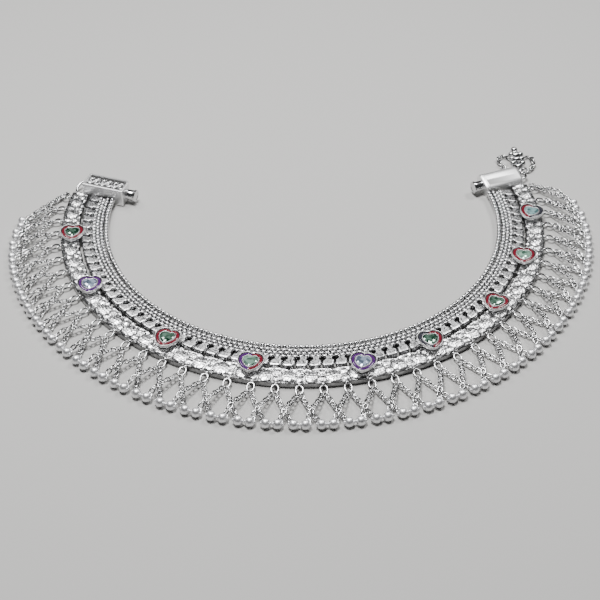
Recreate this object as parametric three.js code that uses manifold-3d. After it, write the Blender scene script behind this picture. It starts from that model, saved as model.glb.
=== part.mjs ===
// An open silver anklet lying on a table: a curved band of a relief strip, a pierced woven strip and a
// beaded inner edge, nine heart settings, two clasp boxes, a hanging charm and a fringe of chain swags.
// Millimetres, +Z up. The band opens toward +Y. Places on it are given by a radius from the middle of
// the ankle space and an angle from -Y, positive toward +X.

import * as THREE from 'three';
import { mergeVertices } from 'three/addons/utils/BufferGeometryUtils.js';
import Module from 'manifold-3d';

const wasm = await Module();
wasm.setup();

const DEGREE = Math.PI / 180;
const JOIN_TOLERANCE = 0.03;

// Band, from its outer edge inward.
const BAND = {
  outerRadius: 77,
  halfSweep: 101.7 * DEGREE,
  flare: 9 * DEGREE,
  slope: Math.tan(4.5 * DEGREE),
  seam: 0.55,
};

const STRIP = {
  width: 5.9,
  height: 2.1,
  rimDrop: 0.1,
  bump: 0.75,
  smallBump: 0.5,
  valley: -0.35,
  scallop: 0.45,
  bumpShare: 0.35,
  valleyShare: 0.62,
  smallBumpShare: 0.8,
};

const WOVEN = {
  tabs: 66,
  tabLength: 3.4,
  rowsWidth: 3.5,
  thickness: 1.5,
  lift: 0.15,
  slitWidth: 0.34,
  keyholeWidth: 1.0,
  keyholeLength: 1.0,
  tabCrown: 0.35,
  rowsCrown: 0.1,
};

const EDGE = {
  diameter: 1.6,
  gap: 0.15,
  lift: 0.1,
  sides: 8,
  steps: 48,
};

// Fringe of chain swags, each from one jump ring to the next but one.
const RING = {
  count: 42,
  length: 3.5,
  width: 2.6,
  wire: 0.7,
  wallGap: 0.3,
  topHeight: 1.7,
  endMargin: 1.6 * DEGREE,
  legPlace: 0.93,
  segments: 6,
  wireSides: 4,
};

const FRINGE = {
  reach: 15.5,
  chainDiameter: 1.7,
  beadDiameter: 2.85,
  beadPitchShare: 0.43,
  legSpread: 0.3,
  legStart: 0.6,
  legStep: 0.12,
  crossingRise: 2.1,
  crossingShare: 0.6,
  beadShare: 0.87,
  beadStretch: 0.45,
  beadRise: 0.2,
  waistShare: 0.7,
  sides: 6,
  drift: 5,
};

// Where the outermost legs end: out from the strip's wall, and past the strip's end along the edge.
const FRINGE_ENDS = {
  left: { reach: 1.9, past: 0.5 },
  right: { reach: 1.6, past: 0.9 },
};

// How far the fringe reaches out, and how far its swags have slid toward the front, along the band.
const FRINGE_SHAPE = [
  { angle: -101, reach: 0.84, slide: 2.4 },
  { angle: -95, reach: 0.93, slide: 2.0 },
  { angle: -89, reach: 0.98, slide: 1.6 },
  { angle: -82, reach: 1, slide: 1.1 },
  { angle: -70, reach: 1, slide: 0.5 },
  { angle: -58, reach: 1, slide: 0 },
  { angle: 0, reach: 1, slide: 0 },
  { angle: 40, reach: 0.94, slide: 0 },
  { angle: 62, reach: 0.9, slide: 0 },
  { angle: 82, reach: 0.9, slide: 0.6 },
  { angle: 95, reach: 0.86, slide: 1.2 },
  { angle: 101, reach: 0.78, slide: 1.5 },
];

const HEART = {
  width: 7.6,
  length: 8.2,
  height: 1.7,
  plumpness: 0.25,
  taper: 0.06,
  lift: 0.07,
  notch: 0.11,
  notchSpread: 0.35,
  seatGap: 0.2,
  points: 12,
  grooveDepth: 0.35,
  rimShare: 0.84,
  grooveShare: 0.76,
  tableShare: 0.46,
  rimLevel: 0.8,
};

// The middle of a heart lies `place` in from the strip's outer edge.
// Its tip points to the front, turned by `turn` toward -X.
const HEARTS = [
  { angle: -83.4, place: 3.8, turn: 0, stone: 'green' },
  { angle: -62.1, place: 3.6, turn: 0, stone: 'pale' },
  { angle: -34.4, place: 5, turn: 22, stone: 'green' },
  { angle: -13.5, place: 4.8, turn: 12, stone: 'pale_green' },
  { angle: 11.6, place: 4.3, turn: 13, stone: 'pale' },
  { angle: 28.9, place: 5.5, turn: -9, stone: 'green' },
  { angle: 50.1, place: 4.6, turn: 27, stone: 'green' },
  { angle: 70, place: 5.4, turn: 8, stone: 'pale_green' },
  { angle: 88.6, place: 3.6, turn: 20, stone: 'teal' },
];

const BOX = {
  bandGap: 0.3,
  panelDepth: 0.5,
  panelMargin: 0.8,
  cornerRadius: 1.6,
  socketDepth: 1.2,
  socketGap: 0.15,
};

const LEFT_BOX = {
  length: 14.4,
  width: 6.6,
  height: 6,
  innerOffset: -2.5,
};

const RIGHT_BOX = {
  length: 14,
  width: 7.4,
  height: 5.8,
  innerOffset: 0.5,
  frontHeight: 3.9,
  backRadius: 2.3,
  frontBevel: 0.4,
};

// The right box swells from its inner end and narrows at its outer end.
const RIGHT_SECTIONS = [
  { place: 0, scale: 0.94 },
  { place: 0.05, scale: 1 },
  { place: 0.915, scale: 1 },
  { place: 0.98, scale: 0.88 },
  { place: 1, scale: 0.72 },
];

const PIN = {
  diameter: 3.4,
  flangeDiameter: 3.9,
  flangeThickness: 0.7,
  reach: 3.4,
  sides: 16,
  height: 2.9,
};

// The loop soldered to the outer end of each box. The left one leans, its back end up.
const LOOP = {
  wire: 0.9,
  sunk: 0.7,
  segments: 12,
  wireSides: 5,
};
const LEFT_LOOP = { length: 6.2, width: 4.6, lean: 20 * DEGREE, height: 1.6 };
const RIGHT_LOOP = { length: 4.4, width: 4.4, backShare: 0.2, height: 1.7 };

const CHARM = {
  turn: 68 * DEGREE,
  linkLength: 4.2,
  linkWidth: 3.4,
  wire: 0.8,
  linkPlace: 0.4,
  clearance: 0.15,
  beadDiameter: 3.0,
  topBeadDiameter: 2.4,
  coilLength: 10.5,
  coilWidth: 6.4,
  coilWire: 1.7,
  segments: 10,
  wireSides: 5,
};

// The charm's two chain coils and its beads, by their distance from the loop and to the side.
const CHARM_COILS = [
  { along: 7, aside: 3.4, lean: 14 * DEGREE },
  { along: 6.6, aside: -3.2, lean: -12 * DEGREE },
];
const CHARM_BEADS = [
  { along: 3.4, diameter: CHARM.beadDiameter },
  { along: 7.6, diameter: CHARM.beadDiameter },
  { along: 10.2, diameter: CHARM.beadDiameter },
  { along: 12.3, diameter: CHARM.topBeadDiameter },
  { along: 14.3, diameter: CHARM.topBeadDiameter },
];

const COLOURS = {
  silver: { color: 0xd9dadd, roughness: 0.42, metalness: 0.9 },
  bright: { color: 0xe6e7ea, roughness: 0.2, metalness: 1 },
  green: { color: 0x1c7a3c, roughness: 0.15, metalness: 0 },
  pale: { color: 0xcfdce8, roughness: 0.12, metalness: 0 },
  pale_green: { color: 0xa9cdb0, roughness: 0.12, metalness: 0 },
  teal: { color: 0xbfdedd, roughness: 0.12, metalness: 0 },
};

const INNER_RADIUS = BAND.outerRadius - STRIP.width - BAND.seam - WOVEN.tabLength
  - WOVEN.rowsWidth - EDGE.gap - EDGE.diameter;
const MIDDLE_RADIUS = (BAND.outerRadius + INNER_RADIUS) / 2;
const PITCH = 2 * (BAND.halfSweep - RING.endMargin) / (RING.count - 1);

// A point at a radius, an angle and a height.
function polar(radius, angle, height) {
  return new THREE.Vector3(radius * Math.sin(angle), -radius * Math.cos(angle), height);
}

// An angle on the band, stretched toward the outer edge so that the ends are cut on a slant.
function flared(angle, radius) {
  const rate = Math.tan(BAND.flare) / MIDDLE_RADIUS / BAND.halfSweep;
  return angle * (1 + rate * (radius - MIDDLE_RADIUS));
}

function onBand(radius, angle, height) {
  return polar(radius, flared(angle, radius), height);
}

// The height of the band's smooth top at a radius.
function bandTop(radius) {
  return STRIP.height + BAND.slope * (BAND.outerRadius - radius);
}

// A closed solid lofted through rings of equal point counts. Each ring turns the same way round.
function loft(rings) {
  const count = rings[0].length;
  const positions = rings.flat().flatMap((point) => [point.x, point.y, point.z]);
  const index = [];
  for (let i = 0; i + 1 < rings.length; i += 1) {
    for (let j = 0; j < count; j += 1) {
      const a = i * count + j;
      const b = i * count + (j + 1) % count;
      index.push(a, b, b + count, a, b + count, a + count);
    }
  }
  addCap(index, positions, rings[0], 0, true);
  addCap(index, positions, rings[rings.length - 1], (rings.length - 1) * count, false);
  return indexed(positions, index);
}

// Triangles over one end ring, cut in the ring's own plane.
function addCap(index, positions, ring, offset, flip) {
  const centre = ring.reduce((sum, point) => sum.add(point), new THREE.Vector3()).divideScalar(ring.length);
  const normal = new THREE.Vector3();
  ring.forEach((point, i) => {
    const next = ring[(i + 1) % ring.length];
    normal.add(point.clone().sub(centre).cross(next.clone().sub(centre)));
  });
  normal.normalize();
  const across = ring[0].clone().sub(centre).normalize();
  const along = normal.clone().cross(across);
  const flat = ring.map((point) => {
    const arm = point.clone().sub(centre);
    return new THREE.Vector2(arm.dot(across), arm.dot(along));
  });
  THREE.ShapeUtils.triangulateShape(flat, []).forEach(([a, b, c]) => {
    if (flip) index.push(offset + a, offset + c, offset + b);
    else index.push(offset + a, offset + b, offset + c);
  });
}

function indexed(positions, index) {
  const geometry = new THREE.BufferGeometry();
  geometry.setAttribute('position', new THREE.Float32BufferAttribute(positions, 3));
  geometry.setIndex(index);
  return outward(geometry);
}

// The same geometry, turned inside out where its volume is negative.
function outward(geometry) {
  const position = geometry.getAttribute('position');
  const index = geometry.getIndex().array;
  let volume = 0;
  const corner = [new THREE.Vector3(), new THREE.Vector3(), new THREE.Vector3()];
  for (let i = 0; i < index.length; i += 3) {
    corner.forEach((point, j) => point.fromBufferAttribute(position, index[i + j]));
    volume += corner[0].dot(corner[1].clone().cross(corner[2]));
  }
  if (volume < 0) {
    for (let i = 0; i < index.length; i += 3) {
      const kept = index[i + 1];
      index[i + 1] = index[i + 2];
      index[i + 2] = kept;
    }
  }
  return geometry;
}

function toManifold(geometry) {
  const plain = geometry.clone();
  plain.deleteAttribute('normal');
  plain.deleteAttribute('uv');
  const merged = mergeVertices(plain, 1e-5);
  return new wasm.Manifold(new wasm.Mesh({
    numProp: 3,
    vertProperties: new Float32Array(merged.getAttribute('position').array),
    triVerts: new Uint32Array(merged.getIndex().array),
  }));
}

function fromManifold(solid) {
  const mesh = solid.getMesh();
  return indexed(Array.from(mesh.vertProperties), Array.from(mesh.triVerts));
}

// Solids soldered into one. Solder fills what the joins seal in and closes edges under the tolerance.
function joined(geometries) {
  const shells = wasm.Manifold.union(geometries.map(toManifold)).simplify(JOIN_TOLERANCE).decompose();
  return fromManifold(wasm.Manifold.compose(shells.filter((shell) => shell.volume() > 0)));
}

// A round tube along a path of { point, radius }, whose sections stand square to the path.
function tube(path, sides) {
  const up = new THREE.Vector3(0, 0, 1);
  const rings = path.map((stop, i) => {
    const before = path[Math.max(i - 1, 0)].point;
    const after = path[Math.min(i + 1, path.length - 1)].point;
    const tangent = after.clone().sub(before).normalize();
    const side = up.clone().cross(tangent).normalize();
    const lift = tangent.clone().cross(side);
    return Array.from({ length: sides }, (_, j) => {
      const turn = 2 * Math.PI * (j + 0.5) / sides;
      return stop.point.clone()
        .addScaledVector(side, stop.radius * Math.cos(turn))
        .addScaledVector(lift, stop.radius * Math.sin(turn));
    });
  });
  return loft(rings);
}

// An oval link lying flat, its length along X, centred on the origin.
function flatLink(length, width, wire, segments, sides) {
  const rings = [];
  for (let i = 0; i < segments; i += 1) {
    const turn = 2 * Math.PI * i / segments;
    const centre = new THREE.Vector3(
      Math.cos(turn) * (length - wire) / 2,
      Math.sin(turn) * (width - wire) / 2,
      0,
    );
    const out = new THREE.Vector3(
      Math.cos(turn) * (width - wire),
      Math.sin(turn) * (length - wire),
      0,
    ).normalize();
    for (let j = 0; j < sides; j += 1) {
      const roll = 2 * Math.PI * (j + 0.5) / sides;
      rings.push(centre.clone()
        .addScaledVector(out, Math.cos(roll) * wire / 2)
        .add(new THREE.Vector3(0, 0, Math.sin(roll) * wire / 2)));
    }
  }
  const index = [];
  for (let i = 0; i < segments; i += 1) {
    for (let j = 0; j < sides; j += 1) {
      const a = i * sides + j;
      const b = i * sides + (j + 1) % sides;
      const c = ((i + 1) % segments) * sides + (j + 1) % sides;
      const d = ((i + 1) % segments) * sides + j;
      index.push(a, b, c, a, c, d);
    }
  }
  return indexed(rings.flatMap((point) => [point.x, point.y, point.z]), index);
}

function bead(centre, diameter, sides) {
  const geometry = new THREE.SphereGeometry(diameter / 2, sides, sides / 2);
  geometry.rotateX(Math.PI / 2);
  geometry.translate(centre.x, centre.y, centre.z);
  return geometry;
}

// A geometry whose X axis is made to point outward at a place on the band.
function placed(geometry, radius, angle, height) {
  const out = polar(1, angle, 0);
  const matrix = new THREE.Matrix4().makeRotationZ(Math.atan2(out.y, out.x));
  geometry.applyMatrix4(matrix);
  const origin = polar(radius, angle, height);
  geometry.translate(origin.x, origin.y, origin.z);
  return geometry;
}

function ringAngle(k) {
  return flared(-BAND.halfSweep + RING.endMargin + k * PITCH, BAND.outerRadius);
}

// The relief strip: a row of large bumps, a row of small ones between them, and a scalloped inner edge.
function outerStrip() {
  const half = Math.round(2 * BAND.halfSweep / (PITCH / 2));
  const sections = [];
  for (let i = 0; i <= half; i += 1) {
    const angle = -BAND.halfSweep + 2 * BAND.halfSweep * i / half;
    const peak = i % 2 === 0;
    const inner = STRIP.width - (peak ? 0 : STRIP.scallop);
    const profile = [
      { across: 0, height: null },
      { across: 0, height: -STRIP.rimDrop },
      { across: STRIP.bumpShare * STRIP.width, height: peak ? STRIP.bump : STRIP.valley },
      { across: STRIP.valleyShare * STRIP.width, height: STRIP.valley },
      { across: STRIP.smallBumpShare * STRIP.width, height: peak ? STRIP.valley / 2 : STRIP.smallBump },
      { across: inner, height: STRIP.valley },
      { across: inner, height: null },
    ];
    sections.push(profile.map((stop) => {
      const radius = BAND.outerRadius - stop.across;
      const height = stop.height === null ? 0 : bandTop(radius) + stop.height;
      return onBand(radius, angle, height);
    }));
  }
  return loft(sections);
}

// The pierced woven strip: a comb of tabs whose slits end in keyholes, backed by the plain woven rows.
function wovenBand() {
  const outer = BAND.outerRadius - STRIP.width - BAND.seam;
  const rows = [
    { across: 0, gap: WOVEN.slitWidth, top: 0 },
    { across: WOVEN.tabLength - WOVEN.keyholeLength, gap: WOVEN.slitWidth, top: WOVEN.tabCrown },
    { across: WOVEN.tabLength, gap: WOVEN.keyholeWidth, top: WOVEN.rowsCrown },
    { across: WOVEN.tabLength + WOVEN.rowsWidth, gap: WOVEN.slitWidth, top: WOVEN.rowsCrown },
  ];
  const last = rows.length - 1;
  const columns = [];
  for (let k = 0; k <= WOVEN.tabs; k += 1) {
    const angle = -BAND.halfSweep + 2 * BAND.halfSweep * k / WOVEN.tabs;
    if (k > 0) columns.push({ angle, side: -1 });
    if (k < WOVEN.tabs) columns.push({ angle, side: 1 });
  }
  const positions = [];
  columns.forEach((column) => rows.forEach((row) => {
    const radius = outer - row.across;
    const end = column.angle === -BAND.halfSweep || column === columns[columns.length - 1];
    const shift = end ? 0 : column.side * row.gap / 2 / radius;
    const top = bandTop(radius) + row.top - WOVEN.tabCrown;
    const high = onBand(radius, column.angle + shift, top);
    const low = onBand(radius, column.angle + shift, top - WOVEN.thickness - row.top + WOVEN.lift);
    positions.push(high.x, high.y, high.z, low.x, low.y, low.z);
  }));
  const at = (c, r, low) => 2 * (c * rows.length + r) + (low ? 1 : 0);
  const index = [];
  const quad = (a, b, c, d) => index.push(a, b, c, a, c, d);
  const inside = (c, r) => c >= 0 && c < columns.length - 1 && r >= 0 && r < last;
  const solid = (c, r) => inside(c, r) && (c % 2 === 0 || r === last - 1);
  for (let c = 0; c < columns.length - 1; c += 1) {
    for (let r = 0; r < last; r += 1) {
      if (solid(c, r)) {
        quad(at(c, r), at(c + 1, r), at(c + 1, r + 1), at(c, r + 1));
        quad(at(c, r, 1), at(c, r + 1, 1), at(c + 1, r + 1, 1), at(c + 1, r, 1));
        if (!solid(c, r - 1)) quad(at(c, r), at(c, r, 1), at(c + 1, r, 1), at(c + 1, r));
        if (!solid(c, r + 1)) quad(at(c, r + 1), at(c + 1, r + 1), at(c + 1, r + 1, 1), at(c, r + 1, 1));
        if (!solid(c - 1, r)) quad(at(c, r), at(c, r + 1), at(c, r + 1, 1), at(c, r, 1));
        if (!solid(c + 1, r)) quad(at(c + 1, r), at(c + 1, r, 1), at(c + 1, r + 1, 1), at(c + 1, r + 1));
      }
    }
  }
  return indexed(positions, index);
}

function beadedEdge() {
  const radius = INNER_RADIUS + EDGE.diameter / 2;
  const height = bandTop(radius) - EDGE.diameter / 2 + EDGE.lift;
  const path = Array.from({ length: EDGE.steps + 1 }, (_, i) => ({
    point: onBand(radius, -BAND.halfSweep + 2 * BAND.halfSweep * i / EDGE.steps, height),
    radius: EDGE.diameter / 2,
  }));
  return tube(path, EDGE.sides);
}

// A heart outline around the origin, tip toward -Y.
function heartOutline(scale) {
  return Array.from({ length: HEART.points }, (_, i) => {
    const turn = 2 * Math.PI * i / HEART.points;
    const x = Math.sin(turn) * Math.abs(Math.sin(turn)) ** HEART.plumpness / 2;
    const fromNotch = Math.min(turn, 2 * Math.PI - turn) / HEART.notchSpread;
    const notch = HEART.notch * Math.exp(-(fromNotch ** 2));
    const y = Math.cos(turn) / 2 - HEART.taper * Math.cos(2 * turn) + HEART.lift - notch;
    return new THREE.Vector2(scale * HEART.width * x, scale * HEART.length * y);
  });
}

// A heart cup with a raised rim, a groove and a faceted stone with a flat table.
function heartSetting(heart) {
  const radius = BAND.outerRadius - heart.place;
  const base = bandTop(radius) + STRIP.bump + HEART.seatGap;
  const levels = [
    { scale: 1, height: 0 },
    { scale: 1, height: HEART.rimLevel },
    { scale: HEART.rimShare, height: HEART.rimLevel },
    { scale: HEART.grooveShare, height: HEART.rimLevel - HEART.grooveDepth / HEART.height },
    { scale: HEART.tableShare, height: 1 },
  ];
  const geometry = loft(levels.map((level) => heartOutline(level.scale).map(
    (point) => new THREE.Vector3(point.x, point.y, level.height * HEART.height),
  )));
  geometry.rotateZ(-heart.turn * DEGREE);
  const place = polar(radius, heart.angle * DEGREE, base);
  geometry.translate(place.x, place.y, place.z);
  return geometry;
}

// A clasp box is drawn with X outward from its inner end along the band's slanted end, Y away from it.
function placeBox(geometry, box, side) {
  const turn = side * (BAND.halfSweep + BAND.flare);
  const out = polar(1, turn, 0);
  const away = polar(1, turn + side * Math.PI / 2, 0);
  const start = (INNER_RADIUS + box.innerOffset - MIDDLE_RADIUS) / Math.cos(BAND.flare);
  const origin = polar(MIDDLE_RADIUS, side * BAND.halfSweep, 0)
    .addScaledVector(out, start)
    .addScaledVector(away, BOX.bandGap + box.width / 2);
  const matrix = new THREE.Matrix4().makeBasis(out, away, new THREE.Vector3(0, 0, 1)).setPosition(origin);
  geometry.applyMatrix4(matrix);
  return outward(geometry);
}

function cylinderAlongX(start, length, diameter, height, sides) {
  const geometry = new THREE.CylinderGeometry(diameter / 2, diameter / 2, length, sides);
  geometry.rotateZ(Math.PI / 2);
  geometry.translate(start + length / 2, 0, height);
  return geometry;
}

function leftBox() {
  const { length, width, height } = LEFT_BOX;
  const body = new THREE.Shape();
  body.moveTo(0, -width / 2);
  body.lineTo(length, -width / 2);
  body.lineTo(length, width / 2);
  body.lineTo(BOX.cornerRadius, width / 2);
  body.absarc(BOX.cornerRadius, width / 2 - BOX.cornerRadius, BOX.cornerRadius, Math.PI / 2, Math.PI, false);
  const block = new THREE.ExtrudeGeometry(body, { depth: height, bevelEnabled: false, curveSegments: 4 });
  const panelLength = length - 2 * BOX.panelMargin;
  const panelWidth = width - 2 * BOX.panelMargin;
  const panel = new THREE.BoxGeometry(panelLength, panelWidth, 2 * BOX.panelDepth);
  panel.translate(length / 2, 0, height);
  const loop = boxLoop(LEFT_LOOP);
  loop.rotateX(LEFT_LOOP.lean);
  loop.translate(length + loopReach(LEFT_LOOP), 0, LEFT_LOOP.height);
  const solid = toManifold(mergeVertices(block)).add(toManifold(loop))
    .subtract(toManifold(panel))
    .subtract(toManifold(socket()));
  return placeBox(fromManifold(solid), LEFT_BOX, -1);
}

// A loop lying flat across the end of a box, and how far its middle stands out from that end.
function boxLoop(loop) {
  const link = flatLink(loop.length, loop.width, LOOP.wire, LOOP.segments, LOOP.wireSides);
  return link.rotateZ(Math.PI / 2);
}

function loopReach(loop) {
  return loop.width / 2 - LOOP.wire * LOOP.sunk;
}

function socket() {
  return cylinderAlongX(-1, 1 + BOX.socketDepth, PIN.diameter + 2 * BOX.socketGap, PIN.height, PIN.sides);
}

// The right box has a low front, a slope up to its top and a rounded back.
function rightBox() {
  const { length, width, height, frontHeight, backRadius, frontBevel } = RIGHT_BOX;
  const profile = [
    { y: -width / 2, z: 0 },
    { y: width / 2, z: 0 },
    { y: width / 2, z: height - backRadius },
  ];
  for (let i = 1; i <= 4; i += 1) {
    const turn = i * Math.PI / 8;
    profile.push({
      y: width / 2 - backRadius + backRadius * Math.cos(turn),
      z: height - backRadius + backRadius * Math.sin(turn),
    });
  }
  profile.push({ y: -width / 2 + frontBevel, z: frontHeight + frontBevel });
  profile.push({ y: -width / 2, z: frontHeight });
  const block = loft(RIGHT_SECTIONS.map((section) => profile.map(
    (point) => new THREE.Vector3(section.place * length, point.y * section.scale, point.z * section.scale),
  )));
  const loop = boxLoop(RIGHT_LOOP);
  loop.translate(length + loopReach(RIGHT_LOOP), RIGHT_LOOP.backShare * width, RIGHT_LOOP.height);
  const solid = toManifold(block).add(toManifold(loop)).subtract(toManifold(socket()));
  return placeBox(fromManifold(solid), RIGHT_BOX, 1);
}

// A polished pin seated in the inner end of a clasp box, with a low flange at its free end.
function claspPin(box, side) {
  const seated = BOX.socketDepth - BOX.socketGap;
  const shaft = cylinderAlongX(-PIN.reach, PIN.reach + seated, PIN.diameter, PIN.height, PIN.sides);
  const flange = cylinderAlongX(-PIN.reach, PIN.flangeThickness, PIN.flangeDiameter, PIN.height, PIN.sides);
  return placeBox(joined([shaft, flange]), box, side);
}

// The reach and the slide of the fringe at an angle, between the rows of its table.
function fringeShape(angle) {
  const rows = FRINGE_SHAPE;
  const turn = THREE.MathUtils.clamp(angle / DEGREE, rows[0].angle, rows[rows.length - 1].angle);
  const next = Math.max(1, rows.findIndex((row) => row.angle >= turn));
  const low = rows[next - 1];
  const high = rows[next];
  const share = (turn - low.angle) / (high.angle - low.angle);
  return {
    reach: THREE.MathUtils.lerp(low.reach, high.reach, share),
    slide: THREE.MathUtils.lerp(low.slide, high.slide, share),
  };
}

function fringeEnd(end, side, height) {
  const radius = BAND.outerRadius + end.reach;
  const angle = side * (flared(BAND.halfSweep, BAND.outerRadius) + end.past / radius);
  return { radius, angle, height };
}

// Where a swag's leg leaves its jump ring, or the clasp past the last ring.
function swagEnd(k, side) {
  const ringEnd = BAND.outerRadius + RING.wallGap + RING.length * RING.legPlace;
  const height = THREE.MathUtils.lerp(RING.topHeight, FRINGE.chainDiameter / 2, RING.legPlace);
  const shift = side * FRINGE.legSpread / 2 / ringEnd;
  if (k < 0) return fringeEnd(FRINGE_ENDS.left, -1, height);
  if (k >= RING.count) return fringeEnd(FRINGE_ENDS.right, 1, height);
  return { radius: ringEnd, angle: ringAngle(k) + shift, height };
}

// The lowest point of the swag that starts at ring k, slid from between its rings toward the front.
function swagBottom(k) {
  const middle = ringAngle(k + 1);
  const shape = fringeShape(middle);
  const radius = BAND.outerRadius + FRINGE.reach * shape.reach;
  const slide = FRINGE.drift * (Math.sin(middle) + Math.sign(middle) * shape.slide) / radius;
  return { radius, angle: middle - slide };
}

// One swag: a leg, a bead, a short link, a bead and a leg that passes over its neighbour.
function swag(k) {
  const start = swagEnd(k, 1);
  const end = swagEnd(k + 2, -1);
  const { radius, angle: bottom } = swagBottom(k);
  const spread = FRINGE.beadPitchShare * (swagBottom(k + 1).angle - swagBottom(k - 1).angle) / 4;
  const chain = FRINGE.chainDiameter / 2;
  const ball = FRINGE.beadDiameter / 2;
  const path = [];
  const stop = (r, angle, height, size) => path.push({ point: polar(r, angle, height), radius: size });
  const leg = (from, to, share, rise, size = chain) => stop(
    THREE.MathUtils.lerp(from.radius, radius, share),
    THREE.MathUtils.lerp(from.angle, to, share),
    THREE.MathUtils.lerp(from.height, chain, share) + rise,
    size,
  );
  const near = ball * FRINGE.beadStretch / radius;
  leg(start, bottom - spread, 0, 0, FRINGE.legStart);
  leg(start, bottom - spread, FRINGE.beadShare, FRINGE.beadRise);
  stop(radius, bottom - spread - near, ball, ball);
  stop(radius, bottom - spread + near, ball, ball);
  stop(radius, bottom, ball, chain * FRINGE.waistShare);
  stop(radius, bottom + spread - near, ball, ball);
  stop(radius, bottom + spread + near, ball, ball);
  leg(end, bottom + spread, FRINGE.beadShare, FRINGE.crossingRise / 2);
  leg(end, bottom + spread, FRINGE.crossingShare, FRINGE.crossingRise);
  leg(end, bottom + spread, 0, FRINGE.legStep, FRINGE.legStart);
  return tube(path, FRINGE.sides);
}

function jumpRing(k) {
  const link = flatLink(RING.length, RING.width, RING.wire, RING.segments, RING.wireSides);
  const foot = FRINGE.chainDiameter / 2;
  link.rotateY(Math.asin((RING.topHeight - foot) / (RING.length - RING.wire)));
  const middle = BAND.outerRadius + RING.wallGap + RING.length / 2;
  return placed(link, middle, ringAngle(k), (RING.topHeight + foot) / 2);
}

// The first links of the fringe, from beside the left box to the first jump ring.
function firstLinks() {
  const ends = [swagEnd(-1, 1), swagEnd(0, 1)];
  const path = ends.map(({ radius, angle, height }) => ({
    point: polar(radius, angle, height),
    radius: FRINGE.legStart,
  }));
  return tube(path, FRINGE.sides);
}

function chainFringe() {
  const pieces = Array.from({ length: RING.count }, (_, k) => jumpRing(k));
  for (let k = -1; k < RING.count - 1; k += 1) pieces.push(swag(k));
  pieces.push(firstLinks());
  return joined(pieces);
}

// The charm: a link, two chain coils and a row of beads, drawn along X from the loop that holds it.
function endCharm() {
  const { coilLength, coilWidth, coilWire, segments, wireSides } = CHARM;
  const link = flatLink(CHARM.linkLength, CHARM.linkWidth, CHARM.wire, segments, wireSides);
  link.rotateX(Math.PI / 2);
  link.translate(CHARM.linkPlace, 0, RIGHT_LOOP.height);
  const coils = CHARM_COILS.map(({ along, aside, lean }) => {
    const coil = flatLink(coilLength, coilWidth, coilWire, segments, wireSides);
    coil.rotateZ(lean);
    return coil.translate(along, aside, coilWire / 2);
  });
  const beads = CHARM_BEADS.map(({ along, diameter }) => (
    bead(new THREE.Vector3(along, 0, diameter / 2), diameter, segments)
  ));
  return joined([link, ...coils, ...beads]);
}

function charmInPlace() {
  const geometry = endCharm();
  const reach = RIGHT_LOOP.length / 2 - LOOP.wire / 2 + CHARM.clearance;
  geometry.rotateZ(CHARM.turn);
  geometry.translate(
    RIGHT_BOX.length + loopReach(RIGHT_LOOP) + reach * Math.cos(CHARM.turn),
    RIGHT_LOOP.backShare * RIGHT_BOX.width + reach * Math.sin(CHARM.turn),
    0,
  );
  return placeBox(geometry, RIGHT_BOX, 1);
}

const group = new THREE.Group();

function addPart(name, geometry, look) {
  const material = new THREE.MeshStandardMaterial(COLOURS[look]);
  const mesh = new THREE.Mesh(geometry, material);
  mesh.name = name;
  group.add(mesh);
}

addPart('outer_strip', outerStrip(), 'silver');
addPart('woven_band', wovenBand(), 'silver');
addPart('beaded_edge', beadedEdge(), 'bright');
addPart('chain_fringe', chainFringe(), 'bright');
HEARTS.forEach((heart, i) => addPart(`heart_setting_${i + 1}`, heartSetting(heart), heart.stone));
addPart('clasp_box_left', leftBox(), 'silver');
addPart('clasp_box_right', rightBox(), 'silver');
addPart('clasp_pin_left', claspPin(LEFT_BOX, -1), 'bright');
addPart('clasp_pin_right', claspPin(RIGHT_BOX, 1), 'bright');
addPart('end_charm', charmInPlace(), 'bright');

// The origin is the middle of the underside of the whole part's box.
const extent = new THREE.Box3().setFromObject(group);
const centre = extent.getCenter(new THREE.Vector3());
group.position.set(-centre.x, -centre.y, -extent.min.z);

export default group;
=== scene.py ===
"""An open silver payal anklet with heart settings and a chain fringe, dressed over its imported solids."""

import math

import bpy
import numpy as np
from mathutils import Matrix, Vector


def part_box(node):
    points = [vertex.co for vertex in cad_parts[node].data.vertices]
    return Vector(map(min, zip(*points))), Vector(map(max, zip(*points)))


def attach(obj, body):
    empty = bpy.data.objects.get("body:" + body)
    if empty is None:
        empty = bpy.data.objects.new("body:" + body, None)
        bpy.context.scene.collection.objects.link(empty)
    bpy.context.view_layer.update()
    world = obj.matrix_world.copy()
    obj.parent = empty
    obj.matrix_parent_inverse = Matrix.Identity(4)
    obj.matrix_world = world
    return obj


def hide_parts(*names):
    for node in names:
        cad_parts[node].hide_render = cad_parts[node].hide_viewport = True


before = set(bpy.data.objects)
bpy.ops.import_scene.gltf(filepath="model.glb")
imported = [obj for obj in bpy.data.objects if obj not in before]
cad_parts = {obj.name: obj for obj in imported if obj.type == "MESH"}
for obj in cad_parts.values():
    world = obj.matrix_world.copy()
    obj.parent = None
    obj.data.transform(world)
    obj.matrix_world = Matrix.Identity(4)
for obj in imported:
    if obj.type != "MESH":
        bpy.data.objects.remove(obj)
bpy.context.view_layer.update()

bl_info = {
    "name": "Payal Anklet",
    "version": (1, 0, 0),
    "blender": (4, 5, 0),
    "location": "3D View > Sidebar > Payal",
    "description": "Builds an open silver payal with a relief band, heart settings and a chain fringe",
    "category": "Add Mesh",
}

STRIP_LOW, STRIP_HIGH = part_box("outer_strip")
OUTER_RADIUS = (STRIP_HIGH[0] - STRIP_LOW[0]) / 2
CENTRE_X = (STRIP_HIGH[0] + STRIP_LOW[0]) / 2
CENTRE_Y = STRIP_LOW[1] + OUTER_RADIUS

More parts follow.
